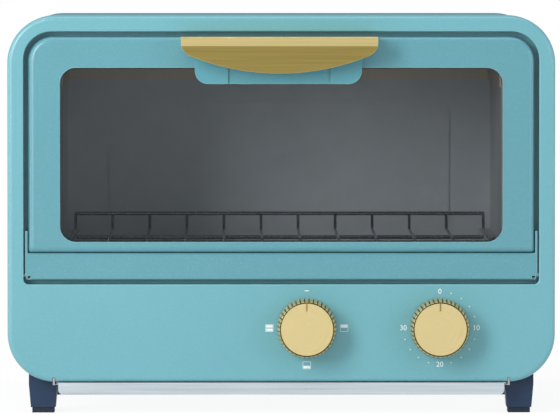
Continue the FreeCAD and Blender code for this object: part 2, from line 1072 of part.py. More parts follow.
def heater_end_caps():
    caps = []
    for y, z in heater_places():
        start = cap_outer - end_cap_length
        cap = rod(end_cap / 2, V(start - end_cap_seat, y, z), V(cap_outer, y, z))
        seat = rod(heater_tube / 2, V(start - end_cap_seat - over, y, z), V(start, y, z))
        bore = rod(heater_core / 2, V(start - over, y, z), V(cap_outer - end_cap_seat, y, z))
        caps.append(cap.cut(seat.fuse(bore)))
    return group(caps + [mirrored(cap) for cap in caps])


def heater_brackets():
    """Upright strips on the cavity's outer sides with a hole round each end cap."""
    brackets = []
    for y, z in heater_places():
        start = cavity_half + cavity_sheet
        inner = start + cap_bracket_standoff
        outer = inner + cap_bracket_sheet
        side = end_cap / 2 + cap_bracket_side
        low = z - end_cap / 2 - cap_bracket_rise
        high = z + end_cap / 2 + cap_bracket_rise
        plate = box(inner, outer, y - side, y + side, low, high)
        leg_front = box(start, outer, y - side, y - side + cap_bracket_sheet, low, high)
        leg_back = box(start, outer, y + side - cap_bracket_sheet, y + side, low, high)
        hole = rod(end_cap / 2, V(start - over, y, z), V(outer + over, y, z))
        brackets.append(joined([plate, leg_front, leg_back]).cut(hole))
    return group(brackets + [mirrored(item) for item in brackets])


# ---- controls ----
def d_shaft(x, end_depth):
    reach = knob_reach - face_seat - face_thickness - shaft_end_gap
    radius = shaft_diameter / 2
    shaft = rod_y(radius, x, knob_z, behind(-reach), behind(end_depth))
    flat = box(
        x - shaft_diameter,
        x + shaft_diameter,
        behind(-reach - over),
        behind(-shaft_flat_setback),
        knob_z + radius - shaft_flat,
        knob_z + shaft_diameter,
    )
    return shaft.cut(flat)


def control_mount(x, bore_depth):
    """Bushing and two pads that seat a control on the panel, with the shapes its holes take away."""
    start = behind(control_depth)
    seat = behind(frame_wall)
    half = control_pad / 2
    solids = [rod_y(control_nose / 2, x, knob_z, seat, start)]
    bore = shaft_diameter / 2 + running_clearance
    holes = [rod_y(bore, x, knob_z, behind(0), start + bore_depth)]
    for side in (-1, 1):
        place = x + side * control_screw_reach
        solids.append(box(place - half, place + half, seat, start, knob_z - half, knob_z + half))
        deep = behind(frame_wall + control_screw_hole)
        holes.append(rod_y(control_screw / 2, place, knob_z, behind(0), deep))
    return solids, holes


def timer_body():
    start = behind(control_depth)
    can = rod_y(timer_can / 2, timer_x, knob_z, start, start + timer_can_depth)
    can = softened(can, start + timer_can_depth, timer_can_edge)
    solids, holes = control_mount(timer_x, timer_bore_depth)
    return joined([can] + solids).cut(group(holes))


def timer_bell():
    can_back = behind(control_depth) + timer_can_depth
    start = can_back + bell_gap
    end = start + bell_depth
    dome = rod_y(bell_diameter / 2, timer_x, knob_z, start, end)
    dome = softened(dome, end, bell_edge)
    hollow = rod_y(bell_diameter / 2 - bell_sheet, timer_x, knob_z, start - over, end - bell_sheet)
    hollow = softened(hollow, end - bell_sheet, bell_edge - bell_sheet)
    post = rod_y(bell_post / 2, timer_x, knob_z, can_back, end + bell_post_end)
    nut = rod_y(bell_nut / 2, timer_x, knob_z, end, end + bell_nut_height)
    return joined([dome.cut(hollow), post, nut])


def switch_tab_x(column):
    return selector_x + (column - switch_tabs // 2) * switch_tab_pitch - switch_tab_sheet / 2


def selector_switch_body():
    start = behind(control_depth)
    back = start + switch_depth
    half = switch_width / 2
    body = box(selector_x - half, selector_x + half, start, back, knob_z - half, knob_z + half)
    solids, holes = control_mount(selector_x, switch_bore_depth)
    tabs = []
    for column in range(switch_tabs):
        x = switch_tab_x(column)
        for z in (knob_z - switch_tab_drop, knob_z + switch_tab_drop - switch_tab_width):
            tabs.append(box(x, x + switch_tab_sheet, back, back + switch_tab, z, z + switch_tab_width))
    return joined([body] + solids + tabs).cut(group(holes))


def control_screws():
    screws = []
    for x in (timer_x, selector_x):
        for side in (-1, 1):
            place = x + side * control_screw_reach
            screws.append(
                screw_y(
                    place, knob_z, behind(0), control_screw_length, 1, control_screw, control_screw_head
                )
            )
    return group(screws)


def knob(x):
    """Tapered knob with a toothed rim, hollow behind for the screws and the shaft."""
    tip = knob_diameter / 2 - knob_taper
    base_y = behind(-knob_gap)
    tip_y = behind(-knob_reach)
    core = Part.makeCone(
        knob_diameter / 2, tip, knob_reach - knob_gap, V(x, base_y, knob_z), V(0, -1, 0)
    )
    core = softened(core, tip_y, knob_edge)
    cutters = []
    for index in range(knob_teeth):
        angle = (index + 0.5) * 2 * math.pi / knob_teeth
        root = knob_diameter / 2 - tooth_depth
        base = V(x + root * math.cos(angle), base_y + over, knob_z + root * math.sin(angle))
        top_root = tip - tooth_depth
        top = V(x + top_root * math.cos(angle), tip_y - over, knob_z + top_root * math.sin(angle))
        cutters.append(valley(base, top, angle))
    core = core.cut(group(cutters))
    floor_y = behind(-knob_hollow)
    hollow = rod_y(knob_diameter / 2 - knob_wall, x, knob_z, floor_y, behind(0))
    boss_y = behind(-knob_gap - knob_boss_gap)
    boss = rod_y(shaft_diameter / 2 + knob_boss_wall, x, knob_z, floor_y, boss_y)
    core = core.cut(hollow.cut(boss))
    seat = rod_y(face_radius, x, knob_z, tip_y - over, tip_y + face_seat)
    core = core.cut(seat)
    return core.cut(d_shaft(x, shaft_in_knob))


def valley(base, top, angle):
    """Three-sided groove that opens outwards from the line between two points."""
    half = math.pi * knob_diameter / knob_teeth * tooth_valley
    out = V(math.cos(angle), 0, math.sin(angle))
    side = V(-math.sin(angle), 0, math.cos(angle))
    faces = []
    for point in (base, top):
        outer = point + out * (tooth_depth * tooth_cutter)
        corners = [point, outer + side * half, outer - side * half]
        faces.append(Part.makePolygon(corners + [corners[0]]))
    return Part.makeLoft(faces, True, True)


def knob_face(x):
    tip_y = behind(-knob_reach)
    seat_y = tip_y + face_seat
    face = rod_y(face_radius - seat_gap, x, knob_z, seat_y - face_thickness, seat_y)
    groove = box(
        x - pointer_width / 2,
        x + pointer_width / 2,
        tip_y - over,
        tip_y + pointer_depth,
        knob_z + face_radius - pointer_length,
        knob_z + knob_diameter,
    )
    return face.cut(groove)


# ---- door ----
def window_block(grow, y0, y1):
    return rounded_block(
        window_half + grow,
        window_low - grow,
        window_high + grow,
        window_corner + grow,
        window_corner + grow,
        y0,
        y1,
    )


def door_skin():
    back = behind(skin_depth)
    front = behind(door_face)
    outer = rounded_block(door_half, skin_low, door_high, skin_low_corner, door_corner, front, back)
    outer = outer.makeFillet(door_edge, pressing_edges(outer, front))
    inner = rounded_block(
        door_half - door_sheet,
        skin_low + door_sheet,
        door_high - door_sheet,
        skin_low_inner_corner,
        door_corner - door_sheet,
        behind(door_face + door_sheet),
        back + over,
    )
    inner_edges = pressing_edges(inner, behind(door_face + door_sheet))
    inner = inner.makeFillet(door_edge - door_sheet, inner_edges)
    shell = outer.cut(inner)
    shell = shell.cut(window_block(0, behind(door_face - over), behind(door_face + door_sheet + over)))
    start = front - over
    end = behind(door_face + door_sheet + over)
    holes = [rod_y(screw_shank / 2, x, handle_boss_z, start, end) for x in handle_boss_places()]
    return shell.cut(group(holes))


def pressing_edges(block, y):
    """Edges round the front of the door pressing."""
    return [edge for edge in edges_at_y(block, y) if edge.BoundBox.ZMax > window_low]


def glass_gasket():
    y0 = behind(door_face + door_sheet)
    ring = window_block(glass_margin, y0, y0 + gasket_sheet)
    return ring.cut(window_block(gasket_inset, y0 - over, y0 + gasket_sheet + over))


def door_glass():
    return window_block(glass_margin, behind(glass_front), behind(glass_back))


def door_inner_frame():
    """Hollow channel ring that clamps the glass from behind."""
    side = door_half - door_sheet - running_gap
    low = skin_low + door_sheet + running_gap
    high = door_high - door_sheet - running_gap
    corner = door_corner - door_sheet - running_gap
    front = behind(glass_back)
    back = behind(door_back)
    ring = rounded_block(side, low, high, inner_frame_corner, corner, front, back)
    collar = window_block(glass_margin - clamp_inset, front, back)
    ring = ring.fuse(collar)
    groove = rounded_block(
        side - inner_frame_sheet,
        low + inner_frame_sheet,
        high - inner_frame_sheet,
        0,
        corner - inner_frame_sheet,
        front - over,
        back - inner_frame_sheet,
    )
    groove = groove.cut(window_block(glass_margin - clamp_inset, front - 2 * over, back))
    ring = ring.cut(groove)
    opening = window_block(glass_margin - clamp_inset - inner_frame_sheet, behind(0), back + over)
    ring = ring.cut(opening)
    face = back - inner_frame_sheet
    skirt = box(-side, side, face, back, rail_low + running_gap, low + inner_frame_skirt)
    holes = [rod_y(door_screw / 2, x, z, face - over, back + over) for x, z in door_screw_places()]
    return joined([ring, skirt]).cut(group(holes))


def door_bottom_rail():
    """Channel under the door pressing whose end ears carry the hinge pins."""
    front = behind(rail_setback - door_proud)
    back = behind(door_back - inner_frame_sheet)
    channel = box(-rail_half, rail_half, front, back, rail_low, rail_high)
    channel = channel.makeFillet(rail_edge, long_front_edges(channel, front))
    hollow = box(
        -rail_half - over,
        rail_half + over,
        front + rail_wall,
        back + over,
        rail_low + rail_wall,
        rail_high - rail_wall,
    )
    channel = channel.cut(hollow)
    bosses = []
    holes = []
    for x, z in door_screw_places():
        half = door_boss / 2
        bosses.append(
            box(x - half, x + half, front + rail_wall, back, rail_low + rail_wall, rail_high - rail_wall)
        )
        holes.append(rod_y(door_screw / 2, x, z, front + rail_wall, back + over))
    channel = joined([channel] + bosses).cut(group(holes))
    notch = box(
        rail_half - rail_notch,
        ear_outer - ear_wall,
        front - over,
        front + rail_wall,
        rail_low - over,
        rail_low + rail_notch,
    )
    channel = channel.cut(pair(notch))
    ear = box(ear_outer - ear_wall, ear_outer, front, back, hinge_z, rail_low + ear_height)
    eye = rod(
        hinge_z - rail_low,
        V(ear_outer - ear_wall, hinge_y, hinge_z),
        V(ear_outer, hinge_y, hinge_z),
    )
    rear = box(ear_outer - ear_wall, ear_outer, hinge_y, back, rail_low, hinge_z)
    ear = joined([ear, eye, rear])
    bridge = box(
        rail_half - ear_bridge_lap,
        ear_outer,
        back - ear_bridge,
        back,
        rail_low + ear_bridge_rise,
        rail_high,
    )
    rail = joined([channel, ear, mirrored(ear), bridge, mirrored(bridge)])
    pin = rod(hinge_pin / 2, V(-half_case, hinge_y, hinge_z), V(half_case, hinge_y, hinge_z))
    return rail.cut(pin)


def long_front_edges(block, front):
    chosen = []
    for edge in edges_at_y(block, front):
        if edge.BoundBox.XMax - edge.BoundBox.XMin > rail_half:
            chosen.append(edge)
    return chosen


def hinge_pins():
    pin = rod(
        hinge_pin / 2,
        V(ear_outer - ear_wall - hinge_pin_entry, hinge_y, hinge_z),
        V(bracket_inner + hinge_bracket_sheet + hinge_pin_end, hinge_y, hinge_z),
    )
    return pair(pin)


def hinge_brackets():
    outer = bracket_inner + hinge_bracket_sheet
    front = behind(frame_wall + hinge_bracket_setback)
    back = behind(throat_depth)
    low = hinge_z - hinge_bracket_below
    high = hinge_z + hinge_bracket_above
    plate = box(bracket_inner, outer, front, back, low, high)
    flange = box(
        bracket_inner - hinge_bracket_toe,
        outer + hinge_bracket_flange,
        back - hinge_bracket_foot,
        back,
        low,
        high,
    )
    hole = hinge_pin / 2 + running_clearance
    bore = rod(hole, V(bracket_inner - over, hinge_y, hinge_z), V(outer + over, hinge_y, hinge_z))
    return pair(joined([plate, flange]).cut(bore))


def door_screw_places():
    middle = (rail_low + rail_high) / 2
    return [(side * door_screw_pitch, middle) for side in (-1, 0, 1)]


def door_screws():
    """Screws through the inner frame's skirt into the rail's bosses."""
    screws = []
    for x, z in door_screw_places():
        screws.append(
            screw_y(
                x,
                z,
                behind(door_back),
                door_screw_length,
                -1,
                door_screw,
                door_screw_head,
                door_screw_head_height,
            )
        )
    return group(screws)


# ---- handle ----
def handle_outline(y0, y1):
    """Straight-topped shape whose lower edge is one shallow arc between round corners."""
    half = handle_width / 2
    side_low = handle_high - handle_side
    corner_centre = V(half - handle_corner, 0, side_low)
    rise = side_low - handle_low
    reach = half - handle_corner
    big = (reach ** 2 + rise ** 2 - handle_corner ** 2) / (2 * (rise - handle_corner))
    arc_centre_z = handle_low + big
    turn = math.atan2(arc_centre_z - corner_centre.z, reach)
    tangent = V(
        corner_centre.x + handle_corner * math.cos(turn),
        y0,
        corner_centre.z - handle_corner * math.sin(turn),
    )
    middle = V(
        corner_centre.x + handle_corner * math.cos(turn / 2),
        y0,
        corner_centre.z - handle_corner * math.sin(turn / 2),
    )
    top = V(half, y0, handle_high)
    side = V(half, y0, side_low)
    bottom = V(0, y0, handle_low)
    left_tangent = V(-tangent.x, y0, tangent.z)
    left_middle = V(-middle.x, y0, middle.z)
    left_side = V(-side.x, y0, side.z)
    edges = [
        Part.makeLine(V(-half, y0, handle_high), top),
        Part.makeLine(top, side),
        Part.Arc(side, middle, tangent).toShape(),
        Part.Arc(tangent, bottom, left_tangent).toShape(),
        Part.Arc(left_tangent, left_middle, left_side).toShape(),
        Part.makeLine(left_side, V(-half, y0, handle_high)),
    ]
    face = Part.Face(Part.Wire(Part.__sortEdges__(edges)))
    return face.extrude(V(0, y1 - y0, 0))


def apron_profile(inset, low, half):
    """Side view of the cup: flat band in front, then an apron that leans back as it drops."""
    front = behind(-handle_reach + inset)
    back = behind(door_face)
    band_low = handle_high - handle_band
    high = handle_high - (handle_top_wall if inset else 0)
    slope = apron_slant / (band_low - handle_low)
    points = [
        V(-half, back, high),
        V(-half, front, high),
        V(-half, front, band_low),
        V(-half, front + slope * (band_low - low), low),
        V(-half, back, low),
    ]
    return closed_face(points).extrude(V(2 * half, 0, 0))


def door_handle():
    outer = handle_outline(behind(-handle_reach - over), behind(door_face))
    profile = apron_profile(0, handle_low - over, handle_width)
    cup = outer.common(profile)
    inner_half = handle_width / 2 - handle_wall
    inner = apron_profile(handle_wall, handle_low - 2 * over, inner_half)
    cup = cup.cut(inner)
    front_edges = []
    for edge in edges_at_y(cup, behind(-handle_reach)):
        if edge.BoundBox.ZMin > handle_high - near:
            front_edges.append(edge)
    cup = cup.makeFillet(handle_edge, front_edges)
    cup.translate(V(handle_centre, 0, 0))
    bosses = []
    holes = []
    for x in handle_boss_places():
        start = behind(-handle_boss_depth)
        bosses.append(rod_y(handle_boss / 2, x, handle_boss_z, start, behind(door_face)))
        start = behind(-handle_screw_hole)
        holes.append(rod_y(screw_shank / 2, x, handle_boss_z, start, behind(0)))
    return joined([cup] + bosses).cut(group(holes))


def handle_boss_places():
    return [handle_centre + side * handle_boss_reach for side in (-1, 1)]


def handle_tab():
    """Plate on the door face behind the cup that keeps fingers off the glass."""
    high = handle_high - handle_top_wall - handle_boss - tab_boss_gap
    low = handle_high - tab_drop
    half = handle_width / 2 - tab_side_inset
    y0 = behind(door_face - tab_thickness)
    y1 = behind(door_face)
    plate = rounded_block(half, low, high, tab_corner, tab_top_corner, y0, y1, tab_centre)
    recess = rounded_block(
        tab_recess_width / 2,
        low - over - tab_recess_corner,
        high - tab_recess_drop,
        tab_top_corner,
        tab_recess_corner,
        y0 - over,
        y0 + tab_recess,
        tab_centre + tab_recess_shift,
    )
    return plate.cut(recess)


def handle_screws():
    seat = behind(door_face + door_sheet)
    head = handle_screw_head
    length = handle_screw_length
    places = handle_boss_places()
    return group([screw_y(x, handle_boss_z, seat, length, -1, screw_shank, head) for x in places])


# ---- crumb tray ----
def crumb_tray():
    half = tray_half
    front = behind(tray_front)
    back = behind(tray_end)
    start = front + tray_fascia_sheet
    pan = box(-half, half, start, back, tray_low, tray_top)
    hollow = box(
        -half + tray_sheet,
        half - tray_sheet,
        start,
        back - tray_sheet,
        tray_low + tray_sheet,
        tray_top + over,
    )
    pan = pan.cut(hollow)
    fascia = rounded_block(
        fascia_half, tray_low, tray_top, tray_low_corner, tray_top_corner, front, start
    )
    flange_low = tray_top - tray_flange_sheet
    flange = box(half - tray_sheet, half + tray_flange, start, back, flange_low, tray_top)
    rib_half = half - tray_rib_inset
    ribs = []
    for index in (1, 2):
        y = front + index * tray_rib_pitch
        ribs.append(
            box(-rib_half, rib_half, y, y + tray_rib_width, tray_low, tray_low + tray_rib_height)
        )
    return joined([pan, fascia, flange, mirrored(flange)] + ribs)


def tray_rails():
    """Angle strips under the case: the tray's flanges slide on their inward legs."""
    inner = tray_rail_inner
    outer = inner + tray_rail_sheet
    leg_high = tray_top - tray_flange_sheet - tray_clearance
    leg_low = leg_high - tray_rail_leg_sheet
    leg_start = behind(tray_front + tray_fascia_sheet + tray_leg_setback)
    front = behind(rail_tab_setback)
    frame_back = behind(frame_depth + running_gap)
    end = behind(tray_end + tray_rail_end)
    web_under = box(inner, outer, front, frame_back, leg_low, case_low)
    web = box(inner, outer, frame_back, end, leg_low, wrap_low)
    tab_end = behind(frame_depth - case_overlap - running_gap)
    tab = box(inner, outer, front, tab_end, leg_low, case_low + rail_tab_height)
    leg = box(outer - tray_rail_leg, outer, leg_start, end, leg_low, leg_high)
    return pair(joined([web_under, web, tab, leg]))


# ---- feet ----
def foot_rectangle(inset, z):
    inner = foot_centre - foot_width / 2 + inset
    outer = foot_centre + foot_width / 2 - inset
    half = foot_length / 2 - inset
    corners = [V(inner, -half, z), V(outer, -half, z), V(outer, half, z), V(inner, half, z)]
    return closed_face(corners).OuterWire


def foot_block():
    """Right-hand foot at depth zero, before it is cut to the case."""
    inner = foot_centre - foot_width / 2
    outer = foot_centre + foot_width / 2
    half = foot_length / 2
    brim = foot_height - foot_brim
    top = case_low + case_corner / 2
    taper = Part.makeLoft([foot_rectangle(foot_taper, pad_height), foot_rectangle(0, brim)], True, True)
    rail_clear = tray_rail_inner + tray_rail_sheet + running_gap
    crown = box(max(inner, rail_clear), outer, -half, half, brim, top)
    notch_low = foot_height - foot_notch - running_gap
    notch = box(inner - over, rail_clear, -half - over, half + over, notch_low, top)
    block = joined([taper, crown]).cut(notch)
    hole = rod(foot_screw / 2, V(foot_centre, 0, 0), V(foot_centre, 0, top + over))
    bore_radius = foot_screw_head / 2 + foot_seat_gap
    bore = rod(bore_radius, V(foot_centre, 0, 0), V(foot_centre, 0, foot_height - foot_seat))
    return block.cut(hole.fuse(bore))


def foot(side, depth):
    block = foot_block()
    if side < 0:
        block = mirrored(block)
    block.translate(V(0, behind(depth), 0))
    return block.cut(case_block(frame_wall - seat_gap, behind(0), behind(case_depth)))


def foot_pads():
    pads = []
    half_x = foot_width / 2 - foot_taper - pad_inset
    half_y = foot_length / 2 - foot_taper - pad_inset
    for x, y in foot_places():
        pads.append(box(x - half_x, x + half_x, y - half_y, y + half_y, 0, pad_height))
    return group(pads)


def foot_screws():
    seat = foot_height - foot_seat
    screws = []
    for x, y in foot_places():
        screws.append(screw_z(x, y, seat, foot_screw_length, foot_screw, foot_screw_head))
    return group(screws)


# ---- electrical parts ----
def thermostat():
    start = cavity_half + cavity_sheet
    y = behind(thermostat_depth)
    z = thermostat_z
    end = start + thermostat_length
    tab_end = end + thermostat_tab
    half = thermostat_tab_half
    base = rod(thermostat_body / 2, V(start, y, z), V(end, y, z))
    bulb = rod(thermostat_bulb / 2, V(cavity_half, y, z), V(start, y, z))
    ears = box(
        start,
        start + thermostat_ear_sheet,
        y - thermostat_ear,
        y + thermostat_ear,
        z - thermostat_ear_half,
        z + thermostat_ear_half,
    )
    tabs = []
    for side in (-1, 1):
        outer = y + side * thermostat_tab_spread
        inner = outer - side * switch_tab_sheet
        tabs.append(box(end, tab_end, min(inner, outer), max(inner, outer), z - half, z + half))
    return joined([base, bulb, ears] + tabs)


def terminal_block():
    start = cavity_half + cavity_sheet
    face = start + terminal_body
    y = behind(terminal_depth)
    z = gland_z + terminal_rise
    half = terminal_length / 2
    solids = [box(start, face, y - half, y + half, z, z + terminal_height)]
    low = z + terminal_blade_margin
    high = z + terminal_height - terminal_blade_margin
    blade = terminal_blade_width / 2
    for index in (-1, 0, 1):
        centre = y + index * terminal_blade_pitch
        solids.append(box(face, face + terminal_blade, centre - blade, centre + blade, low, high))
    return joined(solids)


def cord_gland():
    rear = behind(case_depth - case_sheet)
    outer_end = behind(case_depth + gland_reach)
    inner_end = outer_end - gland_length
    neck = rod_y(gland_body / 2, gland_x, gland_z, inner_end, outer_end)
    flange_end = rear + gland_flange_sheet
    flange = rod_y(gland_flange / 2, gland_x, gland_z, rear, flange_end)
    flange = softened(flange, flange_end, gland_edge)
    clip_radius = gland_flange / 2 - gland_clip_step
    clip = rod_y(clip_radius, gland_x, gland_z, inner_end, rear - base_sheet)
    body = joined([neck, flange, clip])
    bore = rod_y(gland_bore / 2, gland_x, gland_z, inner_end - over, outer_end + over)
    return body.cut(bore)


def rounded_tube(points, radius, diameter):
    """Round wire of straight runs joined by tangent arcs."""
    edges = []
    start = points[0]
    for index in range(1, len(points) - 1):
        corner = points[index]
        arriving = (corner - points[index - 1]).normalize()
        leaving = (points[index + 1] - corner).normalize()
        turn = arriving.getAngle(leaving)
        setback = radius * math.tan(turn / 2)
        before = corner - arriving * setback
        after = corner + leaving * setback
        inward = (leaving - arriving).normalize()
        middle = corner + inward * (radius / math.cos(turn / 2) - radius)
        edges.append(Part.makeLine(start, before))
        edges.append(Part.Arc(before, middle, after).toShape())
        start = after
    edges.append(Part.makeLine(start, points[-1]))
    path = Part.Wire(edges)
    direction = (points[1] - points[0]).normalize()
    circle = Part.Wire(Part.makeCircle(diameter / 2, points[0], direction))
    return path.makePipeShell([circle], True, True)


def wiring_harness():
    """Leads from the terminal block, down the right side and through the cavity wall to the switch."""
    side = cavity_half + cavity_sheet
    start_y = behind(terminal_depth) - terminal_length / 2
    tab_y = behind(switch_tab_depth)
    tab_z = knob_z - switch_tab_drop
    wires = []
    for index in range(harness_wires):
        x = side + wire_pitch * (index + harness_side_gap)
        high = gland_z + terminal_rise + wire_pitch * (index + harness_rise)
        low = base_top + wire_pitch * (index + harness_rise)
        tab_x = switch_tab_x(index + 2) + switch_tab_sheet / 2
        points = [
            V(x, start_y, high),
            V(x, start_y - harness_drop_start, high),
            V(x, start_y - harness_drop_end, low),
            V(x, tab_y, low),
            V(tab_x, tab_y, low),
            V(tab_x, tab_y, tab_z),
        ]
        wires.append(rounded_tube(points, wire_bend, wire_diameter))
    return group(wires)


def parts():
    upper_front, upper_rear, lower_front, lower_rear = heater_places()
    return {
        "front_frame": front_frame(),
        "outer_case": outer_case(),
        "back_panel": back_panel(),
        "base_plate": base_plate(),
        "case_screws": case_screws(),
        "back_panel_screws": back_panel_screws(),
        "throat_frame": throat_frame(),
        "cavity_left_wall": cavity_left_wall(),
        "cavity_right_wall": cavity_right_wall(),
        "cavity_back_wall": cavity_back_wall(),
        "upper_reflector": upper_reflector(),
        "cavity_floor": cavity_floor(),
        "control_heat_shield": control_heat_shield(),
        "rack_rails": rack_rails(),
        "upper_heater_front": heater(*upper_front),
        "upper_heater_rear": heater(*upper_rear),
        "lower_heater_front": heater(*lower_front),
        "lower_heater_rear": heater(*lower_rear),
        "heater_cores": heater_cores(),
        "heater_end_caps": heater_end_caps(),
        "heater_brackets": heater_brackets(),
        "timer_body": timer_body(),
        "timer_bell": timer_bell(),
        "timer_shaft": d_shaft(timer_x, control_depth + timer_shaft_depth),
        "timer_knob": knob(timer_x),
        "timer_knob_face": knob_face(timer_x),
        "selector_switch_body": selector_switch_body(),
        "selector_shaft": d_shaft(selector_x, control_depth + switch_shaft_depth),
        "selector_knob": knob(selector_x),
        "selector_knob_face": knob_face(selector_x),
        "control_screws": control_screws(),
        "thermostat": thermostat(),
        "terminal_block": terminal_block(),
        "wiring_harness": wiring_harness(),
        "cord_gland": cord_gland(),
        "front_left_foot": foot(-1, foot_setback_front),
        "front_right_foot": foot(1, foot_setback_front),
        "rear_left_foot": foot(-1, foot_depth_rear),
        "rear_right_foot": foot(1, foot_depth_rear),
        "foot_pads": foot_pads(),
        "foot_screws": foot_screws(),
        "tray_rails": tray_rails(),
        "hinge_brackets": hinge_brackets(),
        "door_skin": door_skin(),
        "door_glass": door_glass(),
        "glass_gasket": glass_gasket(),
        "door_inner_frame": door_inner_frame(),
        "door_bottom_rail": door_bottom_rail(),
        "door_screws": door_screws(),
        "hinge_pins": hinge_pins(),
        "door_handle": door_handle(),
        "handle_tab": handle_tab(),
        "handle_screws": handle_screws(),
        "rack_hooks": rack_hooks(),
        "wire_rack": wire_rack(),
        "rack_yokes": rack_yokes(),
        "crumb_tray": crumb_tray(),
    }


os.makedirs("parts", exist_ok=True)
for name, shape in parts().items():
    shape.exportStep("parts/" + name + ".step")
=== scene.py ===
import json
import math

import bmesh
import bpy
from mathutils import Matrix, Vector


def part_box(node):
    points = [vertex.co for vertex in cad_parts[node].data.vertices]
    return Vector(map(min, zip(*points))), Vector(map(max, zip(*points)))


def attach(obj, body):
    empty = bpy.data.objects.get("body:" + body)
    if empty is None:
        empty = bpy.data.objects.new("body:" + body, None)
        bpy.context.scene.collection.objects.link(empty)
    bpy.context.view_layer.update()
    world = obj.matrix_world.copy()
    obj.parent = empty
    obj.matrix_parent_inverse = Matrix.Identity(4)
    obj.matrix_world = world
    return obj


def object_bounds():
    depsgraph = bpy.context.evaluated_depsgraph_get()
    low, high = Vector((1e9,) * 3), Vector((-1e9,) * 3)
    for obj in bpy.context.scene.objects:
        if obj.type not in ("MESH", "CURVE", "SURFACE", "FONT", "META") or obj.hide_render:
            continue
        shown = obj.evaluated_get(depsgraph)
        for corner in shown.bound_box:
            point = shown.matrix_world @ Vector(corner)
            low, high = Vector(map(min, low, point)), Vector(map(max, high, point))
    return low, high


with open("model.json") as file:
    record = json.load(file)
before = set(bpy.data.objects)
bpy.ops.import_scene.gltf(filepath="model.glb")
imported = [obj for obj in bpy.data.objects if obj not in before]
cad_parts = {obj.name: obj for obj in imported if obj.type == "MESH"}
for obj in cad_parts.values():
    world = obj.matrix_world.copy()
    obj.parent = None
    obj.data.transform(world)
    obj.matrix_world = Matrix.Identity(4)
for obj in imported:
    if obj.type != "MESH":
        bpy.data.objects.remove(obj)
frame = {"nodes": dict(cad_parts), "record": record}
cad_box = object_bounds()
MM = 0.001
BLACK = (0.0, 0.0, 0.0, 1.0)
WHITE = (1.0, 1.0, 1.0, 1.0)


# ---------------------------------------------------------------- colours
def srgb(code):
    """Linear colour of a written sRGB colour such as 6FAAB4."""
    parts = [int(code[i:i + 2], 16) / 255 for i in (0, 2, 4)]
    linear = [p / 12.92 if p <= 0.04045 else ((p + 0.055) / 1.055) ** 2.4 for p in parts]
    return (*linear, 1.0)


def tinted(colour, factor):
    """The colour made lighter or darker by a factor."""
    return (*[min(1.0, c * factor) for c in colour[:3]], 1.0)


TEAL = "5F9AA4"
TAB_TEAL = "4C8F9B"
DOOR_TEAL = "508A95"
# painted shade: a darker copy of the body teal for the case's top and sides
CASE_TEAL_PAINTED_SHADE = "54909B"
GOLD = "CDBB80"
# painted shade: darker gold for the handle's down-facing skirt
GOLD_PAINTED_SHADE = "9A8849"
FACE_GOLD = "D2C08A"
POINTER_BROWN = "6B5D33"
# painted shade for the knurl's valleys
KNURL_PAINTED_SHADE = "2E3A22"
NAVY = "162E49"
INK_WHITE = "DDE9EA"


# ---------------------------------------------------------------- node helpers
class Tree:
    """A material's nodes, with short calls for the ones that are used here."""

    def __init__(self, name):
        self.material = bpy.data.materials.new(name)
        self.material.use_nodes = True
        self.nodes = self.material.node_tree.nodes
        self.links = self.material.node_tree.links
        self.nodes.clear()
        self.output = self.nodes.new("ShaderNodeOutputMaterial")
        self.where = self.nodes.new("ShaderNodeTexCoord").outputs["Object"]

    def node(self, kind, inputs=None, **settings):
        made = self.nodes.new(kind)
        for key, value in settings.items():
            setattr(made, key, value)
        for key, value in (inputs or {}).items():
            self.put(made.inputs[key], value)
        return made

    def put(self, socket, value):
        if isinstance(value, bpy.types.NodeSocket):
            self.links.new(value, socket)
        else:
            socket.default_value = value

    def stretched(self, scale):
        return self.node("ShaderNodeMapping", {"Vector": self.where, "Scale": scale}).outputs[0]

    def noise(self, scale, detail=2.0, roughness=0.5, stretch=None):
        vector = self.stretched(stretch) if stretch else self.where
        inputs = {"Vector": vector, "Scale": scale, "Detail": detail, "Roughness": roughness}
        return self.node("ShaderNodeTexNoise", inputs).outputs["Fac"]

    def spread(self, value, low, high, start=0.0, end=1.0):
        """Maps low..high of a value to start..end, and holds it there."""
        inputs = {
            "Value": value, "From Min": low, "From Max": high, "To Min": start, "To Max": end
        }
        return self.node("ShaderNodeMapRange", inputs).outputs[0]

    def sum(self, a, b, operation="ADD"):
        """A sum, or any other operation on two values."""
        return self.node("ShaderNodeMath", {0: a, 1: b}, operation=operation).outputs[0]

    def blend(self, share, a, b, mode="MIX"):
        mix = self.node("ShaderNodeMix", data_type="RGBA", blend_type=mode)
        self.put(mix.inputs[0], share)
        self.put(mix.inputs[6], a)
        self.put(mix.inputs[7], b)
        return mix.outputs[2]

    def edges(self, radius, strength=1.0):
        """Near 1 where the surface turns sharply within the radius: where a painted highlight
        goes on edges.
        """
        bevel = self.node("ShaderNodeBevel", {"Radius": radius}, samples=4)
        normal = self.node("ShaderNodeNewGeometry").outputs["Normal"]
        product = self.node(
            "ShaderNodeVectorMath", {0: bevel.outputs[0], 1: normal}, operation="DOT_PRODUCT"
        )
        return self.spread(product.outputs["Value"], 1.0, 0.8, 0.0, strength)

    def bump(self, height, strength, distance):
        inputs = {"Height": height, "Strength": strength, "Distance": distance}
        return self.node("ShaderNodeBump", inputs).outputs[0]

    def principled(self, inputs):
        shader = self.node("ShaderNodeBsdfPrincipled", inputs)
        self.links.new(shader.outputs[0], self.output.inputs["Surface"])
        return shader


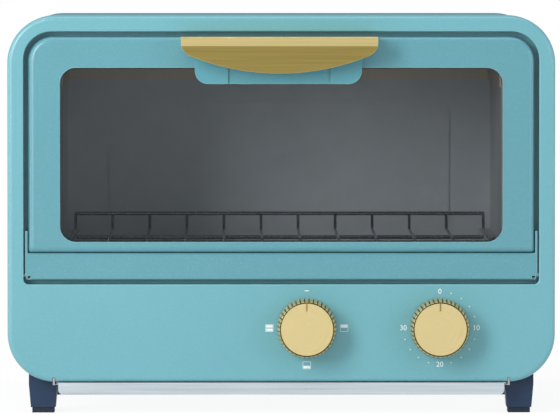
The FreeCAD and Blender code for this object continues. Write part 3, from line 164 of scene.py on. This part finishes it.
# ---------------------------------------------------------------- materials
def enamel(name, colour, speck_and_edge_highlight, roughness=0.36, coat=0.35, shine=0.45):
    """Baked enamel on steel: faint mottling and pearl specks, orange peel, and a painted
    highlight on the edges.
    """
    t = Tree(name)
    cloud = t.noise(9.0, 3.0)
    speck = t.noise(2600.0, 1.0)
    base = t.blend(t.spread(cloud, 0.3, 0.7), colour, tinted(colour, 1.05))
    base = t.blend(t.spread(speck, 0.60, 0.75, 0.0, 0.35), base, speck_and_edge_highlight)
    # painted highlight: the edges are blended toward the pale speck colour
    base = t.blend(t.edges(0.0009, 0.35), base, speck_and_edge_highlight)
    rough = t.spread(t.noise(60.0, 4.0), 0.3, 0.7, roughness - 0.04, roughness + 0.05)
    peel = t.sum(t.noise(420.0, 2.0), t.sum(speck, 0.25, "MULTIPLY"))
    t.principled(
        {
            "Base Color": base,
            "Roughness": rough,
            "Normal": t.bump(peel, 0.09, 0.0006),
            "Coat Weight": coat,
            "Coat Roughness": 0.22,
            "Specular IOR Level": shine,
        }
    )
    return t.material


def brushed(name, colour, along, roughness=0.34, metallic=0.9, scale=900.0, edge_highlight_gain=1.12):
    """Metal brushed in one direction: fine streaks in colour, roughness and height, and a painted
    highlight on the edges.
    """
    t = Tree(name)
    stretch = [1.0, 1.0, 1.0]
    stretch["XYZ".index(along)] = 0.012
    streak = t.noise(scale, 3.0, 0.6, stretch)
    broad = t.noise(30.0, 3.0)
    base = t.blend(t.spread(streak, 0.35, 0.65), tinted(colour, 0.90), tinted(colour, 1.06))
    base = t.blend(t.spread(broad, 0.35, 0.75, 0.0, 0.35), base, tinted(colour, 0.94))
    # painted highlight: edges made lighter by the gain
    base = t.blend(t.edges(0.0006, 0.6), base, tinted(colour, edge_highlight_gain))
    rough = t.spread(streak, 0.3, 0.7, roughness - 0.08, roughness + 0.08)
    t.principled(
        {
            "Base Color": base,
            "Metallic": metallic,
            "Roughness": rough,
            "Normal": t.bump(streak, 0.18, 0.0003),
        }
    )
    return t.material


def turned(name, colour, centre, roughness=0.34, metallic=0.9):
    """Metal turned on a lathe about a Y axis through centre: concentric hairlines, and a painted
    highlight on the edges.
    """
    t = Tree(name)
    shifted = t.node(
        "ShaderNodeVectorMath", {0: t.where, 1: (centre[0], 0.0, centre[1])}, operation="SUBTRACT"
    ).outputs[0]
    split = t.node("ShaderNodeSeparateXYZ", {0: shifted})
    square_x = t.sum(split.outputs[0], split.outputs[0], "MULTIPLY")
    square_z = t.sum(split.outputs[2], split.outputs[2], "MULTIPLY")
    radius = t.node("ShaderNodeMath", {0: t.sum(square_x, square_z)}, operation="SQRT").outputs[0]
    turn = t.node(
        "ShaderNodeMath", {0: split.outputs[2], 1: split.outputs[0]}, operation="ARCTAN2"
    ).outputs[0]
    lathe = t.node(
        "ShaderNodeCombineXYZ",
        {0: t.sum(radius, 3000.0, "MULTIPLY"), 1: t.sum(turn, 1.2, "MULTIPLY")},
    )
    line = t.node(
        "ShaderNodeTexNoise",
        {"Vector": lathe.outputs[0], "Scale": 1.0, "Detail": 3.0, "Roughness": 0.6},
    ).outputs["Fac"]
    base = t.blend(t.spread(line, 0.3, 0.7), tinted(colour, 0.92), tinted(colour, 1.05))
    # painted highlight: edges made lighter
    base = t.blend(t.edges(0.0005, 0.6), base, tinted(colour, 1.15))
    t.principled(
        {
            "Base Color": base,
            "Metallic": metallic,
            "Roughness": t.spread(line, 0.3, 0.7, roughness - 0.06, roughness + 0.08),
            "Normal": t.bump(line, 0.12, 0.0003),
        }
    )
    return t.material


def painted_shade_below(tree, upper, lower, height):
    """One colour above a height of the piece and a painted shade colour below it, with a soft
    change.
    """
    split = tree.node("ShaderNodeSeparateXYZ", {0: tree.where})
    share = tree.spread(split.outputs[2], height - 0.0004, height + 0.0001)
    return tree.blend(share, lower, upper)


def cup_metal(name, colour, shade, height):
    """Brushed metal whose skirt below a height gets a painted shade, darker than the band above
    it, and a painted highlight on its edges.
    """
    t = Tree(name)
    streak = t.noise(900.0, 3.0, 0.6, (0.012, 1.0, 1.0))
    base = painted_shade_below(t, colour, shade, height)
    base = t.blend(t.spread(streak, 0.35, 0.65, 0.0, 0.16), base, BLACK)
    # painted highlight: edges made lighter
    base = t.blend(t.edges(0.0007, 0.7), base, tinted(colour, 1.2))
    t.principled(
        {
            "Base Color": base,
            "Metallic": 0.75,
            "Roughness": t.spread(streak, 0.3, 0.7, 0.30, 0.46),
            "Normal": t.bump(streak, 0.18, 0.0003),
        }
    )
    return t.material


def knurled(name, colour, shade, centre, base_y, base_radius, tip_y, tip_radius, depth):
    """Gold on the tooth crests of a tapered knob and a painted shade down in the valleys."""
    t = Tree(name)
    split = t.node("ShaderNodeSeparateXYZ", {0: t.where})
    dx = t.sum(split.outputs[0], centre[0], "SUBTRACT")
    dz = t.sum(split.outputs[2], centre[1], "SUBTRACT")
    square = t.sum(t.sum(dx, dx, "MULTIPLY"), t.sum(dz, dz, "MULTIPLY"))
    radius = t.node("ShaderNodeMath", {0: square}, operation="SQRT").outputs[0]
    crest = t.spread(split.outputs[1], tip_y, base_y, tip_radius, base_radius)
    below = t.sum(crest, radius, "SUBTRACT")
    grain = t.noise(700.0, 3.0)
    # painted shade: darker the deeper a point lies below the tooth crest
    base = t.blend(t.spread(below, depth * 0.12, depth * 0.7), colour, shade)
    base = t.blend(t.spread(grain, 0.4, 0.7, 0.0, 0.2), base, BLACK)
    t.principled(
        {
            "Base Color": base,
            "Metallic": 0.6,
            "Roughness": t.spread(grain, 0.3, 0.7, 0.34, 0.48),
            "Normal": t.bump(grain, 0.12, 0.0003),
        }
    )
    return t.material


def sheet_metal(name, colour, roughness=0.42, metallic=0.85, spangle=130.0):
    """Zinc or aluminised sheet: soft crystalline spangle, handling marks, and a painted highlight
    on the edges.
    """
    t = Tree(name)
    cell = t.node("ShaderNodeTexVoronoi", {"Vector": t.where, "Scale": spangle}).outputs["Color"]
    shade = t.node("ShaderNodeSeparateColor", {0: cell}).outputs[0]
    cloud = t.noise(14.0, 4.0)
    base = t.blend(t.spread(shade, 0.0, 1.0, 0.0, 0.30), colour, tinted(colour, 1.18))
    base = t.blend(t.spread(cloud, 0.4, 0.75, 0.0, 0.4), base, tinted(colour, 0.86))
    # painted highlight: edges made lighter
    base = t.blend(t.edges(0.0005, 0.5), base, tinted(colour, 1.35))
    rough = t.sum(
        t.spread(shade, 0.0, 1.0, -0.05, 0.06),
        t.spread(cloud, 0.3, 0.7, roughness, roughness + 0.08),
    )
    t.principled(
        {
            "Base Color": base,
            "Metallic": metallic,
            "Roughness": rough,
            "Normal": t.bump(t.noise(220.0, 3.0), 0.10, 0.0004),
        }
    )
    return t.material


def moulded(name, colour, roughness=0.5, grain=1100.0, strength=0.25):
    """Moulded plastic or rubber: fine spark-eroded grain, soft paler clouds, and a painted
    highlight on the edges.
    """
    t = Tree(name)
    grainy = t.noise(grain, 2.0)
    cloud = t.noise(25.0, 3.0)
    base = t.blend(t.spread(cloud, 0.35, 0.7), colour, tinted(colour, 1.18))
    # painted highlight: edges made much lighter
    base = t.blend(t.edges(0.0007, 0.4), base, tinted(colour, 1.7))
    t.principled(
        {
            "Base Color": base,
            "Roughness": t.spread(grainy, 0.3, 0.7, roughness - 0.06, roughness + 0.08),
            "Normal": t.bump(grainy, strength, 0.0003),
            "Specular IOR Level": 0.4,
        }
    )
    return t.material


def ceramic(name, colour):
    """Unglazed white ceramic: chalky, softly clouded, finely pitted."""
    t = Tree(name)
    cloud = t.noise(80.0, 4.0)
    base = t.blend(t.spread(cloud, 0.35, 0.7), colour, tinted(colour, 0.86))
    t.principled(
        {
            "Base Color": base,
            "Roughness": t.spread(cloud, 0.3, 0.7, 0.45, 0.6),
            "Normal": t.bump(t.noise(900.0, 2.0), 0.15, 0.0003),
        }
    )
    return t.material


def pane(name, tint, smear):
    """Tinted glass: what is behind shows through, and it mirrors the room a little."""
    t = Tree(name)
    clear = t.node("ShaderNodeBsdfTransparent", {"Color": tint})
    film = t.noise(14.0, 4.0)
    gloss = t.node(
        "ShaderNodeBsdfPrincipled",
        {
            "Base Color": t.blend(t.spread(film, 0.4, 0.7), smear, tinted(smear, 1.3)),
            "Roughness": t.spread(film, 0.3, 0.7, 0.05, 0.12),
            "Normal": t.bump(t.noise(6.0, 2.0), 0.02, 0.001),
            "Specular IOR Level": 0.5,
        },
    )
    facing = t.node("ShaderNodeFresnel", {"IOR": 1.45}).outputs[0]
    share = t.sum(facing, t.spread(film, 0.3, 0.7, 0.03, 0.07))
    mix = t.node("ShaderNodeMixShader", {0: share, 1: clear.outputs[0], 2: gloss.outputs[0]})
    t.links.new(mix.outputs[0], t.output.inputs["Surface"])
    return t.material


def print_ink(name, colour):
    """Screen-printed ink with a slightly uneven density."""
    t = Tree(name)
    grain = t.noise(1500.0, 2.0)
    base = t.blend(t.spread(grain, 0.35, 0.7), colour, tinted(colour, 0.90))
    t.principled({"Base Color": base, "Roughness": t.spread(grain, 0.3, 0.7, 0.4, 0.55)})
    return t.material


def woven_sleeve(name, colour):
    """Braided glass-fibre sleeve on a lead."""
    t = Tree(name)
    braid = t.noise(1800.0, 2.0, 0.5, (1.0, 0.4, 1.0))
    base = t.blend(t.spread(braid, 0.35, 0.65), tinted(colour, 0.7), colour)
    t.principled({"Base Color": base, "Roughness": 0.8, "Normal": t.bump(braid, 0.5, 0.0005)})
    return t.material


MATERIALS = {
    "body_paint": enamel("teal_enamel", srgb(TEAL), srgb("A9D3DA")),
    "tab_paint": enamel("tab_enamel", srgb(TAB_TEAL), srgb("8FC4CC")),
    "zinc_steel": sheet_metal("zinc_sheet", srgb("A7ABAE")),
    "cavity_steel": sheet_metal("cavity_sheet", srgb("CDD1D4"), 0.55, 0.05),
    "reflector_steel": sheet_metal("tinted_reflector_sheet", srgb("DCCDB8"), 0.5, 0.1),
    "quartz": pane("frosted_quartz", srgb("E8E6E0"), srgb("DAD8D2")),
    "heater_wire": brushed("resistance_wire", srgb("6B6865"), "X", 0.5),
    "ceramic": ceramic("steatite", srgb("E3DED2")),
    "bell_steel": brushed("bell_steel", srgb("C9CACC"), "X", 0.2, 1.0),
    "shaft_steel": brushed("shaft_steel", srgb("A9AAAC"), "Y", 0.3, 1.0),
    "gold_metal": brushed("gold_brushed", srgb(GOLD), "X", 0.36, 0.8),
    "black_plastic": moulded("black_plastic", srgb("1C1C1E")),
    "white_plastic": moulded("white_plastic", srgb("DADAD6")),
    "wire_sleeve": woven_sleeve("glass_fibre_sleeve", srgb("CFC9B8")),
    "foot_plastic": moulded("navy_plastic", srgb(NAVY), 0.42),
    "pad_rubber": moulded("pad_rubber", srgb("14222F"), 0.7, 700.0, 0.4),
    "screw_steel": brushed("screw_steel", srgb("9EA0A3"), "X", 0.35, 1.0),
    "door_glass": pane("smoked_glass", srgb("F3F5F6"), srgb("4A4E51")),
    "gasket_rubber": moulded("silicone_gasket", srgb("202224"), 0.65),
    "rack_wire": brushed("chromed_wire", srgb("8A8D90"), "Y", 0.25, 1.0),
    "tray_steel": brushed("tray_aluminium", srgb("C9D3DA"), "X", 0.33, 0.85),
}


def dress(thing, slot):
    """Gives every face of a node the one material of its slot."""
    thing.data.materials.clear()
    thing.data.materials.append(MATERIALS[slot])
    for polygon in thing.data.polygons:
        polygon.material_index = 0


for row in frame["record"]["subparts"]:
    dress(frame["nodes"][row["node"]], row["material_slot"])


def box_centre(node):
    low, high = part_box(node)
    return (low + high) / 2


# ---------------------------------------------------------------- knobs and handle
# These repeat sizes of the part's source that no box of the frame gives.
HANDLE_BAND = 5.3 * MM
TOOTH_DEPTH = 0.9 * MM
KNOB_TAPER = 1.2 * MM

POINTER_WIDTH = 0.44 * MM
POINTER_LENGTH = 4.2 * MM
POINTER_RIM_GAP = 0.4 * MM
POINTER_TOP_DEPTH = 0.35 * MM
POINTER_FOOT_DEPTH = 0.5 * MM


def dress_knob(knob, face, body):
    """Knurl with painted shade in its valleys, turned face and a dark pointer line in the groove
    of the face.
    """
    low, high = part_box(knob)
    centre = box_centre(knob)
    radius = (high.x - low.x) / 2
    frame["nodes"][knob].data.materials[0] = knurled(
        knob + "_metal", srgb(GOLD), srgb(KNURL_PAINTED_SHADE), (centre.x, centre.z),
        high.y, radius, low.y, radius - KNOB_TAPER, TOOTH_DEPTH,
    )
    frame["nodes"][face].data.materials[0] = turned(
        face + "_metal", srgb(FACE_GOLD), (centre.x, centre.z), 0.4, 0.6
    )
    face_low, face_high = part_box(face)
    top = face_high.z - POINTER_RIM_GAP
    bottom = top - POINTER_LENGTH
    left, right = centre.x - POINTER_WIDTH / 2, centre.x + POINTER_WIDTH / 2
    pointer = plate(
        face + "_pointer",
        [(left, bottom), (right, bottom), (right, top), (left, top)],
        face_low.y + POINTER_TOP_DEPTH,
        face_low.y + POINTER_FOOT_DEPTH,
    )
    pointer.data.materials.append(print_ink(face + "_pointer_ink", srgb(POINTER_BROWN)))
    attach(pointer, body)


def plate(name, outline, y0, y1):
    """Flat piece from an outline of X, Z points, between two planes of constant Y."""
    form = bmesh.new()
    front = [form.verts.new((x, y0, z)) for x, z in outline]
    back = [form.verts.new((x, y1, z)) for x, z in outline]
    form.faces.new(front)
    form.faces.new(list(reversed(back)))
    count = len(outline)
    for index in range(count):
        after = (index + 1) % count
        form.faces.new([front[after], front[index], back[index], back[after]])
    return finished(name, form)


def finished(name, form):
    """Turns a bmesh into a piece of the scene."""
    bmesh.ops.recalc_face_normals(form, faces=form.faces)
    mesh = bpy.data.meshes.new(name)
    form.to_mesh(mesh)
    form.free()
    piece = bpy.data.objects.new(name, mesh)
    bpy.context.scene.collection.objects.link(piece)
    return piece


def rounded_outline(half, low, high, low_radius, high_radius, steps=14, centre=0.0):
    """X, Z points of a box with one radius at its lower corners and one at its upper."""
    points = []
    corners = (
        (centre + half - low_radius, low + low_radius, low_radius, -90),
        (centre + half - high_radius, high - high_radius, high_radius, 0),
        (centre - half + high_radius, high - high_radius, high_radius, 90),
        (centre - half + low_radius, low + low_radius, low_radius, 180),
    )
    for x, z, radius, start in corners:
        for step in range(steps + 1):
            turn = math.radians(start + 90 * step / steps)
            points.append((x + radius * math.cos(turn), z + radius * math.sin(turn)))
    return points


def ring(name, outer, inner, y0, y1):
    """Flat ring between two outlines with the same number of points."""
    form = bmesh.new()
    loops = []
    for outline, y in ((outer, y0), (inner, y0), (inner, y1), (outer, y1)):
        loops.append([form.verts.new((x, y, z)) for x, z in outline])
    count = len(outer)
    for first in range(4):
        a = loops[first]
        b = loops[(first + 1) % 4]
        for index in range(count):
            after = (index + 1) % count
            form.faces.new([a[index], a[after], b[after], b[index]])
    return finished(name, form)


# ---------------------------------------------------------------- rebate behind the door gap
# The first two repeat the part's source: the gap round the door and the depth of its rebate.
DOOR_GAP = 2.7 * MM
REBATE_DEPTH = 9.8 * MM
REBATE_SHEET = 0.8 * MM
REBATE_WIDTH = 4.2 * MM
REBATE_TOP_RADIUS = 16.9 * MM
REBATE_FOOT_RADIUS = 3.0 * MM
REBATE_INNER_FOOT_RADIUS = 1.0 * MM
REBATE_FOOT_RISE = 0.1 * MM


def make_rebate():
    """Painted ring that closes the bottom of the gap round the door."""
    door_low, door_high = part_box("door_skin")
    rail_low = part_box("door_bottom_rail")[0]
    frame_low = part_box("front_frame")[0]
    half = door_high.x + DOOR_GAP
    foot = rail_low.z - DOOR_GAP
    top = door_high.z + DOOR_GAP
    outer = rounded_outline(
        half, foot + REBATE_FOOT_RISE, top, REBATE_FOOT_RADIUS, REBATE_TOP_RADIUS
    )
    inner = rounded_outline(
        half - REBATE_WIDTH, foot + REBATE_WIDTH, top - REBATE_WIDTH,
        REBATE_INNER_FOOT_RADIUS, REBATE_TOP_RADIUS - REBATE_WIDTH,
    )
    front = frame_low.y + REBATE_DEPTH
    piece = ring("door_gap_rebate", outer, inner, front, front + REBATE_SHEET)
    piece.data.materials.append(MATERIALS["body_paint"])
    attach(piece, "case")


# ---------------------------------------------------------------- printed dial marks
INK = print_ink("dial_ink", srgb(INK_WHITE))
INK_SHEET = 0.06 * MM
BAR_CORNER = 0.4

TIMER_MARK_RADIUS = 22.0 * MM
TIMER_NUMBER_SIZE = 4.4 * MM
TIMER_NUMBERS = ("0", "10", "20", "30")
TIMER_DOT = 0.6 * MM
DOTS_PER_NUMBER = 5

SELECTOR_MARK_RADIUS = 22.5 * MM
OFF_MARK = (2.6 * MM, 0.5 * MM)
SIGN_WIDTH = 4.6 * MM
SIGN_HEIGHT = 4.2 * MM
SIGN_LINE = 0.25 * MM
SIGN_BAR_LEVEL = 0.24
SIGN_BAR_WIDTH = 0.86
SIGN_BAR_HEIGHT = 0.36


def ink_piece(piece):
    """Inks a printed mark, which stays with the case."""
    piece.data.materials.append(INK)
    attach(piece, "case")


def print_text(name, words, x, z, size, y):
    """Upright text, centred at X, Z on the panel."""
    curve = bpy.data.curves.new(name, "FONT")
    curve.body = words
    curve.size = size
    curve.align_x = "CENTER"
    curve.align_y = "CENTER"
    curve.extrude = INK_SHEET / 2
    curve.resolution_u = 6
    source = bpy.data.objects.new(name + "_curve", curve)
    bpy.context.scene.collection.objects.link(source)
    mesh = bpy.data.meshes.new_from_object(source)
    bpy.data.objects.remove(source)
    mesh.transform(Matrix.Rotation(math.radians(90), 4, "X"))
    mesh.transform(Matrix.Translation((x, y, z)))
    piece = bpy.data.objects.new(name, mesh)
    bpy.context.scene.collection.objects.link(piece)
    mesh.materials.clear()
    ink_piece(piece)


def print_bar(name, x, z, width, height, y):
    """Printed bar or dot with slightly rounded corners."""
    half_x, half_z = width / 2, height / 2
    radius = min(half_x, half_z) * BAR_CORNER
    outline = rounded_outline(half_x, z - half_z, z + half_z, radius, radius, 3, x)
    ink_piece(plate(name, outline, y - INK_SHEET / 2, y + INK_SHEET / 2))


def print_oven(name, x, z, upper, lower, y):
    """Small oven sign: a thin frame with a filled bar for each heater that is on."""
    for side in (-1, 1):
        print_bar(
            f"{name}_side_{side + 1}", x + side * SIGN_WIDTH / 2, z, SIGN_LINE, SIGN_HEIGHT, y
        )
    for level, on in ((1, upper), (-1, lower)):
        print_bar(
            f"{name}_edge_{level + 1}", x, z + level * SIGN_HEIGHT / 2, SIGN_WIDTH, SIGN_LINE, y
        )
        if on:
            print_bar(
                f"{name}_bar_{level + 1}", x, z + level * SIGN_HEIGHT * SIGN_BAR_LEVEL,
                SIGN_WIDTH * SIGN_BAR_WIDTH, SIGN_HEIGHT * SIGN_BAR_HEIGHT, y,
            )


def around_timer(quarters):
    """X and Z of a timer mark, so many quarter turns clockwise from the top."""
    timer = box_centre("timer_knob")
    turn = math.radians(90 * quarters)
    return (
        timer.x + TIMER_MARK_RADIUS * math.sin(turn),
        timer.z + TIMER_MARK_RADIUS * math.cos(turn),
    )


def make_dial_marks():
    """Numbers and dots round the timer, three oven signs round the selector."""
    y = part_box("front_frame")[0].y - INK_SHEET / 2
    for index, words in enumerate(TIMER_NUMBERS):
        x, z = around_timer(index)
        print_text("timer_mark_" + words, words, x, z, TIMER_NUMBER_SIZE, y)
    for index in range(1, DOTS_PER_NUMBER * (len(TIMER_NUMBERS) - 1)):
        if index % DOTS_PER_NUMBER == 0:
            continue
        x, z = around_timer(index / DOTS_PER_NUMBER)
        print_bar(f"timer_dot_{index}", x, z, TIMER_DOT, TIMER_DOT, y)
    selector = box_centre("selector_knob")
    reach = SELECTOR_MARK_RADIUS
    print_bar("selector_off_mark", selector.x, selector.z + reach, *OFF_MARK, y)
    print_oven("upper_heat", selector.x + reach, selector.z, True, False, y)
    print_oven("lower_heat", selector.x, selector.z - reach, False, True, y)
    print_oven("both_heat", selector.x - reach, selector.z, True, True, y)


make_rebate()
make_dial_marks()
door_paint = enamel("door_enamel", srgb(DOOR_TEAL), srgb("9CCAD2"))
for node in ("door_skin", "door_bottom_rail"):
    frame["nodes"][node].data.materials[0] = door_paint
# painted shade: the case wears a darker copy of the body teal
frame["nodes"]["outer_case"].data.materials[0] = enamel(
    "case_enamel", srgb(CASE_TEAL_PAINTED_SHADE), srgb("8FBFC8"), 0.5, 0.0, 0.2
)
dress_knob("timer_knob", "timer_knob_face", "timer_knob_assembly")
dress_knob("selector_knob", "selector_knob_face", "selector_knob_assembly")
# the handle's skirt below the band gets painted shade
frame["nodes"]["door_handle"].data.materials[0] = cup_metal(
    "cup_gold", srgb(GOLD), srgb(GOLD_PAINTED_SHADE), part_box("door_handle")[1].z - HANDLE_BAND
)


# ---------------------------------------------------------------- studio
FLOOR_GREY = (0.9, 0.9, 0.9, 1.0)
FLOOR_HALF_SIZE = 9.0
SHADE_START, SHADE_END = 0.25, 0.75
SHADE_KEPT = 0.90

CAMERA_PLACE = (-0.030, -4.300, 0.295)
CAMERA_AIM = (-0.0008, 0.0, 0.1231)
CAMERA_LENS = 459.5

WORLD_FILL = (0.93, 0.96, 1.0, 1.0)
WORLD_FILL_STRENGTH = 0.5
LIT_FRONT = (0, 0, 0.12)

# name, place, target, size, watts, colour
LAMPS = (
    ("key", (-1.0, -1.45, 0.7), LIT_FRONT, (0.6, 1.0), 24.0, (1.0, 0.99, 0.97)),
    ("fill", (1.7, -2.0, 0.6), LIT_FRONT, (0.8, 1.2), 9.0, (0.95, 0.98, 1.0)),
    ("top_strip", (0.0, -0.5, 1.6), (0, -0.1, 0.2), (1.8, 0.09), 8.0, (1, 1, 1)),
    ("left_strip", (-1.5, -0.25, 0.3), (0, -0.1, 0.12), (0.09, 1.0), 5.0, (1, 1, 1)),
    ("right_strip", (1.5, -0.35, 0.3), (0, -0.1, 0.12), (0.14, 1.0), 4.0, (1, 1, 1)),
)


def stage_material():
    """Pale floor that keeps the object's shadow and shows white to camera, metal and glass."""
    t = Tree("studio_floor")
    plain = t.node("ShaderNodeBsdfDiffuse", {"Color": FLOOR_GREY, "Roughness": 0.4})
    lit = t.node("ShaderNodeEmission", {"Color": WHITE, "Strength": 1.0})
    path = t.node("ShaderNodeLightPath")
    seen = t.sum(path.outputs["Is Camera Ray"], path.outputs["Is Glossy Ray"], "MAXIMUM")
    seen = t.sum(seen, path.outputs["Is Transmission Ray"], "MAXIMUM")
    apart = t.node("ShaderNodeVectorMath", {0: t.where}, operation="LENGTH").outputs["Value"]
    share = t.spread(apart, SHADE_START, SHADE_END, SHADE_KEPT, 1.0)
    mix = t.node(
        "ShaderNodeMixShader",
        {0: t.sum(seen, share, "MULTIPLY"), 1: plain.outputs[0], 2: lit.outputs[0]},
    )
    t.links.new(mix.outputs[0], t.output.inputs["Surface"])
    return t.material


def make_floor():
    mesh = bpy.data.meshes.new("studio_floor")
    form = bmesh.new()
    bmesh.ops.create_grid(form, x_segments=1, y_segments=1, size=FLOOR_HALF_SIZE)
    form.to_mesh(mesh)
    form.free()
    floor = bpy.data.objects.new("studio_floor", mesh)
    floor.location = (0, 0, cad_box[0].z)
    bpy.context.scene.collection.objects.link(floor)
    mesh.materials.append(stage_material())


def make_world():
    """White to the camera and through glass, and a soft cool fill for everything else."""
    world = bpy.data.worlds.new("studio")
    bpy.context.scene.world = world
    world.use_nodes = True
    nodes = world.node_tree.nodes
    links = world.node_tree.links
    nodes.clear()
    output = nodes.new("ShaderNodeOutputWorld")
    fill = nodes.new("ShaderNodeBackground")
    fill.inputs["Color"].default_value = WORLD_FILL
    fill.inputs["Strength"].default_value = WORLD_FILL_STRENGTH
    white = nodes.new("ShaderNodeBackground")
    white.inputs["Color"].default_value = WHITE
    white.inputs["Strength"].default_value = 1.0
    path = nodes.new("ShaderNodeLightPath")
    seen = nodes.new("ShaderNodeMath")
    seen.operation = "MAXIMUM"
    links.new(path.outputs["Is Camera Ray"], seen.inputs[0])
    links.new(path.outputs["Is Transmission Ray"], seen.inputs[1])
    mix = nodes.new("ShaderNodeMixShader")
    links.new(seen.outputs[0], mix.inputs[0])
    links.new(fill.outputs[0], mix.inputs[1])
    links.new(white.outputs[0], mix.inputs[2])
    links.new(mix.outputs[0], output.inputs["Surface"])


def area_light(name, place, target, size, power, colour):
    lamp = bpy.data.lights.new(name, "AREA")
    lamp.shape = "RECTANGLE"
    lamp.size, lamp.size_y = size
    lamp.energy = power
    lamp.color = colour
    thing = bpy.data.objects.new(name, lamp)
    thing.location = place
    thing.rotation_euler = (Vector(target) - Vector(place)).to_track_quat("-Z", "Y").to_euler()
    bpy.context.scene.collection.objects.link(thing)


def make_camera():
    """Long lens from slightly left of the object and above it.

    Its place and aim are given from the plane of the front."""
    front = Vector((0.0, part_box("front_frame")[0].y, 0.0))
    camera = bpy.data.cameras.new("camera")
    camera.sensor_width = 36.0
    camera.lens = CAMERA_LENS
    camera.clip_end = 50.0
    thing = bpy.data.objects.new("camera", camera)
    thing.location = front + Vector(CAMERA_PLACE)
    aim = front + Vector(CAMERA_AIM)
    thing.rotation_euler = (aim - thing.location).to_track_quat("-Z", "Y").to_euler()
    bpy.context.scene.collection.objects.link(thing)
    bpy.context.scene.camera = thing


make_floor()
make_world()
make_camera()
for lamp_row in LAMPS:
    area_light(*lamp_row)
bpy.context.scene.view_settings.view_transform = "Standard"
